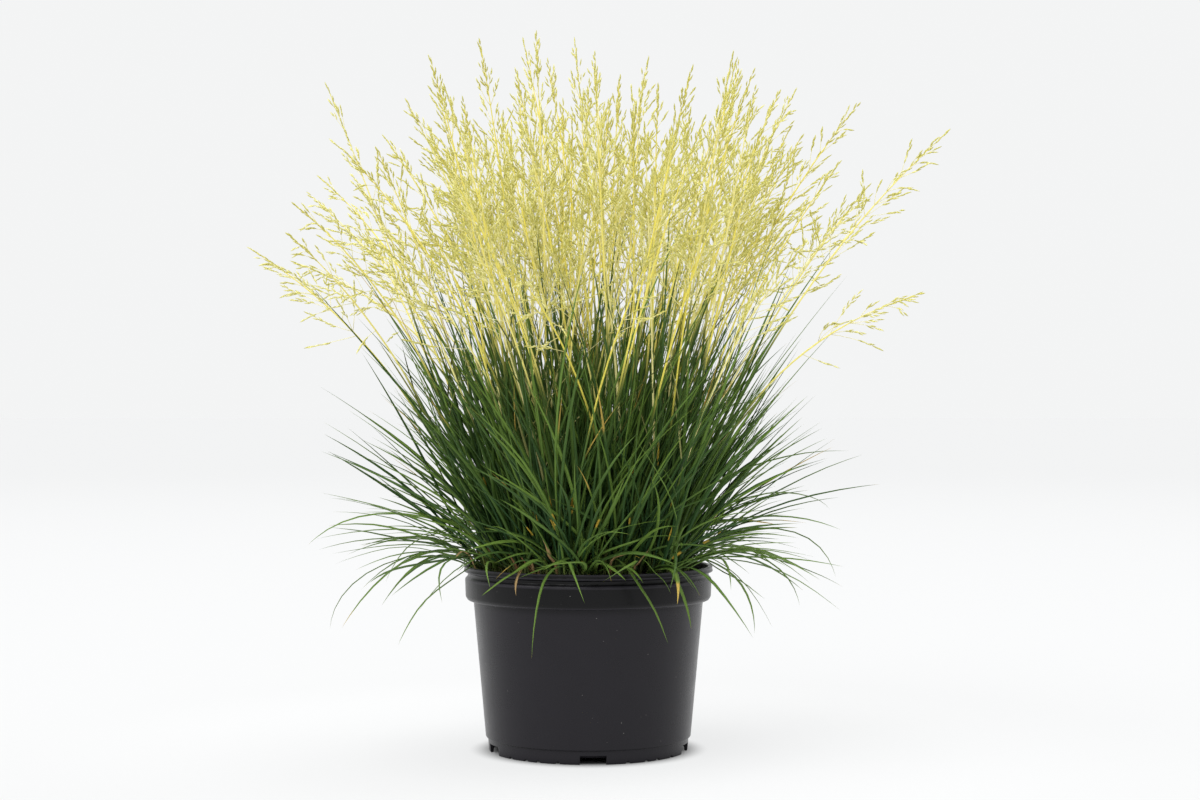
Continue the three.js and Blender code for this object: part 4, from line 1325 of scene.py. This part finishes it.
class GRASS_OT_flower_stems(bpy.types.Operator):
    """Grows the flowering stems of each clump, with their leaves, sprays and spikelets"""

    bl_idname = "grass.flower_stems"
    bl_label = "Flowering stems"

    def execute(self, context):
        sizes = context.scene.grass_heads
        material = straw_gold(sizes)
        for clump, stems in enumerate(main_plant()[0]):
            curves = np.array([stem.curve for stem in stems])
            side = np.array([stem.side for stem in stems])
            more, more_side = fine_stems(clump, sizes.fine_stems)
            curves, side = np.concatenate([curves, more]), np.concatenate([side, more_side])
            keys = (clump + 1) * CLUMP_KEYS + np.arange(len(curves))
            piece = Piece(f"flowering_stems_{clump + 1:02d}")
            self.stems(piece, curves, side, keys)
            self.flag_leaves(piece, curves, side, keys)
            main = [(i, spray) for i, stem in enumerate(stems) for spray in stem.sprays]
            fine = fine_sprays(curves, side, keys)
            fine_owner = np.repeat(np.arange(len(curves)), fine.shape[1])
            owner = np.concatenate([[i for i, _ in main], fine_owner]).astype(int)
            sprays = np.concatenate([np.array([spray for _, spray in main]), fine.reshape(-1, 3, 3)])
            self.sprays(piece, sprays, owner, keys)
            self.tops(piece, curves, side, keys)
            piece.make(material, "flower_stems", f"flower_stems_{clump + 1:02d}")
        return {"FINISHED"}

    def add(self, piece, rings, root, tip, heights, band, owner, column, keys):
        """Adds parts of stems. owner is each part's stem, and column says which of its stem's columns of the
        map it has."""
        left = (STEM_COLUMNS * owner + column) / HEAD_COLUMNS
        tone = draw(HEAD_KIND, keys, STEM_TONE_KEY)[owner]
        piece.add_strands(rings, root, tip, heights, left, 1 / HEAD_COLUMNS, band, tone=tone)

    def stems(self, piece, curves, side, keys):
        """Stems: five-sided tubes that taper to the tip, thicker up to the end of their leaf's sheath."""
        t = STEM_STEPS
        sheath = mix(*SHEATH_RANGE, draw(HEAD_KIND, keys, SHEATH_CHANNEL))[:, None]
        radius = mix(*BARE_STEM_RADII, smooth(0.2, 0.75, t)) * (1 - 0.6 * smooth(0.7, 1, t))
        radius = radius + SHEATH_THICKNESS * (1 - smooth(sheath - 0.02, sheath + 0.01, t[None]))
        rings = tube(curves, side, t, radius, 5)
        roots = curves[:, 0] * [1, 1, 0] + [0, 0, ROOT_DEPTH]
        rings = np.concatenate([rings[:, :1] * [1, 1, 0] + [0, 0, ROOT_DEPTH + 0.5], rings], 1)
        heights = np.concatenate([[0.0], 0.03 + 0.97 * t])
        self.add(piece, rings, roots, curves[:, 2], heights, STEM_BAND, np.arange(len(curves)), 0, keys)

    def flag_leaves(self, piece, curves, side, keys):
        """The leaf that leaves each stem where its sheath ends: a short narrow blade that opens away."""
        roll = draws(range(SHEATH_CHANNEL, SHEATH_CHANNEL + 7), HEAD_KIND, keys)
        sheath = mix(*SHEATH_RANGE, roll[0])[:, None]
        across, facing, along = (v[:, 0] for v in curve_frames(curves, side, sheath))
        out = swung(across, facing, TURN * roll[1])
        opening = mix(10, 42, roll[2] ** 1.5) * DEGREE
        first, second = swung(along, out, opening), swung(along, out, opening * mix(1.1, 2.0, roll[3]))
        length = mix(*FLAG_LENGTHS, roll[4])
        root = along_curves(curves, sheath)[:, 0]
        blades = bow(root, first, length * 0.45, second, length * 0.55)
        width, twist, wave = mix(*FLAG_WIDTHS, roll[5]), (roll[6] - 0.5) * 2, np.zeros(len(curves))
        rings = blade_rings(blades, np.cross(out, along), width, twist, wave)
        heights = 0.03 + 0.95 * BLADE_STEPS
        self.add(piece, rings, root, blades[:, 2], heights, FLAG_BAND, np.arange(len(curves)), 0, keys)

    def sprays(self, piece, sprays, owner, keys):
        """Sprays: thin three-sided tubes, bare near the stem, with spikelets to both sides of the rest."""
        key = SPRAY_KEY + np.arange(len(sprays))
        side = leaning(90 * DEGREE, TURN * draw(HEAD_KIND, keys[owner], key, 0)) + 0.3 * UP
        rings = tube(sprays, side, SPRAY_STEPS, mix(*THREAD_RADII, SPRAY_STEPS), 3)
        self.add(piece, rings, sprays[:, 0], sprays[:, 2], SPRAY_STEPS, SPRAY_BAND, owner, 1, keys)
        length = np.linalg.norm(np.diff(sprays, axis=1), axis=-1).sum(1)
        step = np.arange(SPIKELETS)[None]
        jitter = draw(HEAD_KIND, keys[owner][:, None], key[:, None], 10 + step)
        t = 1 - (step + 0.5 * jitter * (step > 0)) * SPIKELET_SPACING / length[:, None]
        bare = mix(0.34, 0.58, draw(HEAD_KIND, keys[owner], key, 1))[:, None]
        self.spikelets(piece, sprays, side, owner, keys, t, t > bare, SPIKELET_KEY)

    def tops(self, piece, curves, side, keys):
        """Spikelets on the top of each stem itself."""
        owner = np.arange(len(curves))
        t = np.tile(0.999 - 0.0095 * np.arange(TOP_SPIKELETS), (len(curves), 1))
        self.spikelets(piece, curves, side, owner, keys, t, t > 0, TOP_KEY)

    def spikelets(self, piece, lines, side, owner, keys, t, wanted, first_key):
        """Spikelets along lines at t, where they are wanted. They lean from the line to one side and the
        other by turns."""
        line, step = np.nonzero(wanted)
        key = first_key + np.arange(len(line))
        roll = draws(range(20, 27), HEAD_KIND, keys[owner][line], key)
        place = t[line, step][:, None]
        across, facing, along = (v[:, 0] for v in curve_frames(lines[line], side[line], place))
        turn = (180 * (step % 2) + 110 * (roll[0] - 0.5)) * DEGREE
        out = swung(across, facing, turn)
        opening = np.where(step == 0, 3, mix(5, 21, roll[1])) * DEGREE
        heading = unit(swung(along, out, opening) - 0.06 * UP)
        beside = unit(np.cross(heading, np.cross(out, heading)))
        length, radius = mix(*SPIKELET_LENGTHS, roll[2]), mix(*SPIKELET_RADII, roll[3])
        root = along_curves(lines[line], place)[:, 0] + out * (0.25 * roll[4])[:, None]
        rings, root, tip, heights = spindle(root, heading, beside, length, radius, 0.5 * roll[5])
        column = np.floor(roll[6] * STEM_COLUMNS) * (first_key < TOP_KEY)
        self.add(piece, rings, root, tip, heights, SPIKELET_BAND, owner[line], column, keys)


def straw_gold(sizes):
    """Stems that turn from green to gold on the way up, green stem leaves, pale sprays, and husks with
    papery edges. The map's height tells the parts apart."""
    finish = Finish("straw_gold", **{"Specular IOR Level": 0.3})
    across, along = finish.mapped()
    tone = finish.attribute("tone")
    column = (across * HEAD_COLUMNS).whole()
    first = 1 - (column / STEM_COLUMNS).part().step(0.0, 0.2)
    shade = finish.noise(finish.point(column * 3.7, tone * 31), 1.0, 0).step(0.32, 0.68)
    shade = shade * (1 - first) + first
    fibre = finish.noise(finish.point(across * 260, along * 40, tone * 20), 1.0, 2)
    gold = finish.mixed(0.5 * tone, sizes.gold, sizes.pale)
    start = 0.36 + 0.16 * tone - 0.28 * tone.step(0.80, 0.84)
    stem = finish.mixed((along - STEM_BAND[1] * start).step(0.0, 0.06), sizes.green, gold)
    flag = finish.mixed(0.4 * tone, shaded(sizes.green, 0.8), gold)
    body = (along - SPIKELET_BAND[0]) / (SPIKELET_BAND[1] - SPIKELET_BAND[0])
    scales = ((body * 3.0 + across * HEAD_COLUMNS).part()).step(0.45, 0.9)
    husk = finish.mixed(0.36 * shade + 0.40 * (1 - scales), sizes.husk, sizes.olive)
    husk = finish.mixed(0.65 * (1 - shade) * body.step(0.3, 1.0), husk, sizes.pale)
    colour = finish.mixed((along - FLAG_BAND[0]).step(-0.01, 0.0), stem, flag)
    spray = finish.mixed(0.5, gold, sizes.pale)
    colour = finish.mixed((along - SPRAY_BAND[0]).step(-0.01, 0.0), colour, spray)
    colour = finish.mixed((along - SPIKELET_BAND[0]).step(-0.02, -0.01), colour, husk)
    colour = finish.mixed(0.25 * fibre.step(0.5, 0.8), colour, STEM_FIBRE)
    finish.feed(Base_Color=colour, Roughness=0.5 + 0.2 * fibre)
    return finish.material


class GRASS_OT_stage(bpy.types.Operator):
    """Sets the pale floor, the soft studio light and the camera"""

    bl_idname = "grass.stage"
    bl_label = "Stage"

    def execute(self, context):
        sizes = context.scene.grass_stage
        scene = context.scene
        scene.view_settings.view_transform = "Standard"
        self.floor(sizes)
        self.sky(scene, sizes)
        self.sun("sky_left", tilt=38, azimuth=215, strength=1.6)
        self.sun("sky_right", tilt=35, azimuth=40, strength=1.3)
        self.lamp("front_lamp", place=(-0.8, -1.9, 2.0), size=0.7, power=8)
        camera = linked("camera", bpy.data.cameras.new("camera"))
        camera.data.lens = sizes.lens
        camera.data.sensor_width = SENSOR
        camera.location = (CAMERA_OFFSET * MM, -CAMERA_DISTANCE * MM, CAMERA_HEIGHT * MM)
        camera.rotation_euler = (math.pi / 2, 0, 0)
        scene.camera = camera
        return {"FINISHED"}

    def floor(self, sizes):
        """A wide floor that glows as bright as the light around, so that it fades into it far away. Its glow
        fades out round the pot's foot, which is a painted contact shadow, and is raised in a ring round the
        plant, which is painted light over the plant's shadow.
        """
        corners = FLOOR_HALF * np.array([(-1, -1, 0), (1, -1, 0), (1, 1, 0), (-1, 1, 0)])
        mesh = bpy.data.meshes.new("floor")
        mesh.from_pydata(corners, [], [(0, 1, 2, 3)])
        look = {"Base Color": (*sizes.floor, 1), "Emission Strength": 1.0, "Roughness": 0.9}
        finish = Finish("floor", **look, **{"Specular IOR Level": 0.0})
        apart = finish.node("ShaderNodeSeparateXYZ", {}, {0: finish.place()})
        x, y = finish.out(apart, 0), finish.out(apart, 1)
        out = (x * x + y * y) ** 0.5
        glow = finish.mixed(out.step(0.5, 7.0), sizes.near_glow, sizes.glow)
        # Between 0.1 and 0.46 m from the axis the glow is raised a little: painted light that lightens the
        # plant's shadow on the floor.
        ring = out.step(0.10, 0.20) * (1 - out.step(0.28, 0.46))
        glow = finish.mixed(ring, glow, shaded(sizes.near_glow, 1.035))
        # Within 66 to 92 mm of the axis the glow fades to nothing: a painted contact shadow round the pot's
        # foot.
        finish.feed(Emission_Color=finish.mixed(out.step(0.066, 0.092), (0, 0, 0), glow))
        mesh.materials.append(finish.material)
        floor = linked("floor", mesh)
        floor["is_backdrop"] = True

    def sky(self, scene, sizes):
        world = bpy.data.worlds.new("studio")
        scene.world = world
        world.use_nodes = True
        shade = next(node for node in world.node_tree.nodes if node.type == "BACKGROUND")
        shade.inputs["Color"].default_value = (*sizes.sky, 1)
        shade.inputs["Strength"].default_value = 1.0

    def lamp(self, name, place, size, power):
        """A round lamp that faces the middle of the plant."""
        lamp = bpy.data.lights.new(name, "AREA")
        lamp.shape, lamp.size, lamp.energy = "DISK", size, power
        item = linked(name, lamp)
        item.location = place
        aim = PLANT_MIDDLE * UP - np.array(place)
        item.rotation_euler = (math.acos(-aim[2] / np.linalg.norm(aim)), 0, math.atan2(-aim[0], aim[1]))
        item.visible_camera = False

    def sun(self, name, tilt, azimuth, strength):
        """A soft lamp without falloff, tilted from overhead, that shines from an azimuth."""
        lamp = bpy.data.lights.new(name, "SUN")
        lamp.angle, lamp.energy = SUN_SPREAD * DEGREE, strength
        item = linked(name, lamp)
        item.rotation_euler = (tilt * DEGREE, 0, (azimuth + 90) * DEGREE)


class GRASS_PT_panel(bpy.types.Panel):
    """Lists the pieces and the stage in the sidebar"""

    bl_idname = "GRASS_PT_panel"
    bl_label = "Potted grass"
    bl_space_type = "VIEW_3D"
    bl_region_type = "UI"
    bl_category = "Grass"

    def draw(self, context):
        for operator in OPERATORS:
            self.layout.operator(operator.bl_idname)


SETTINGS = {
    "grass_pot": PotSettings,
    "grass_soil": SoilSettings,
    "grass_leaves": LeafSettings,
    "grass_heads": HeadSettings,
    "grass_stage": StageSettings,
}
OPERATORS = (
    GRASS_OT_pot,
    GRASS_OT_soil,
    GRASS_OT_leaves,
    GRASS_OT_edge,
    GRASS_OT_flower_stems,
    GRASS_OT_stage,
)


def register():
    for kind in (*SETTINGS.values(), *OPERATORS, GRASS_PT_panel):
        bpy.utils.register_class(kind)
    for name, kind in SETTINGS.items():
        setattr(bpy.types.Scene, name, bpy.props.PointerProperty(type=kind))


def unregister():
    for name in SETTINGS:
        delattr(bpy.types.Scene, name)
    for kind in reversed((*SETTINGS.values(), *OPERATORS, GRASS_PT_panel)):
        bpy.utils.unregister_class(kind)


def main():
    register()
    bpy.ops.grass.pot()
    bpy.ops.grass.soil()
    bpy.ops.grass.leaves()
    bpy.ops.grass.edge()
    bpy.ops.grass.flower_stems()
    bpy.ops.grass.stage()
    boxes = {"solids": CAD_BOX, "scene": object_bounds()}
    {name: [list(corner) for corner in box] for name, box in boxes.items()}


if __name__ == "__main__":
    main()
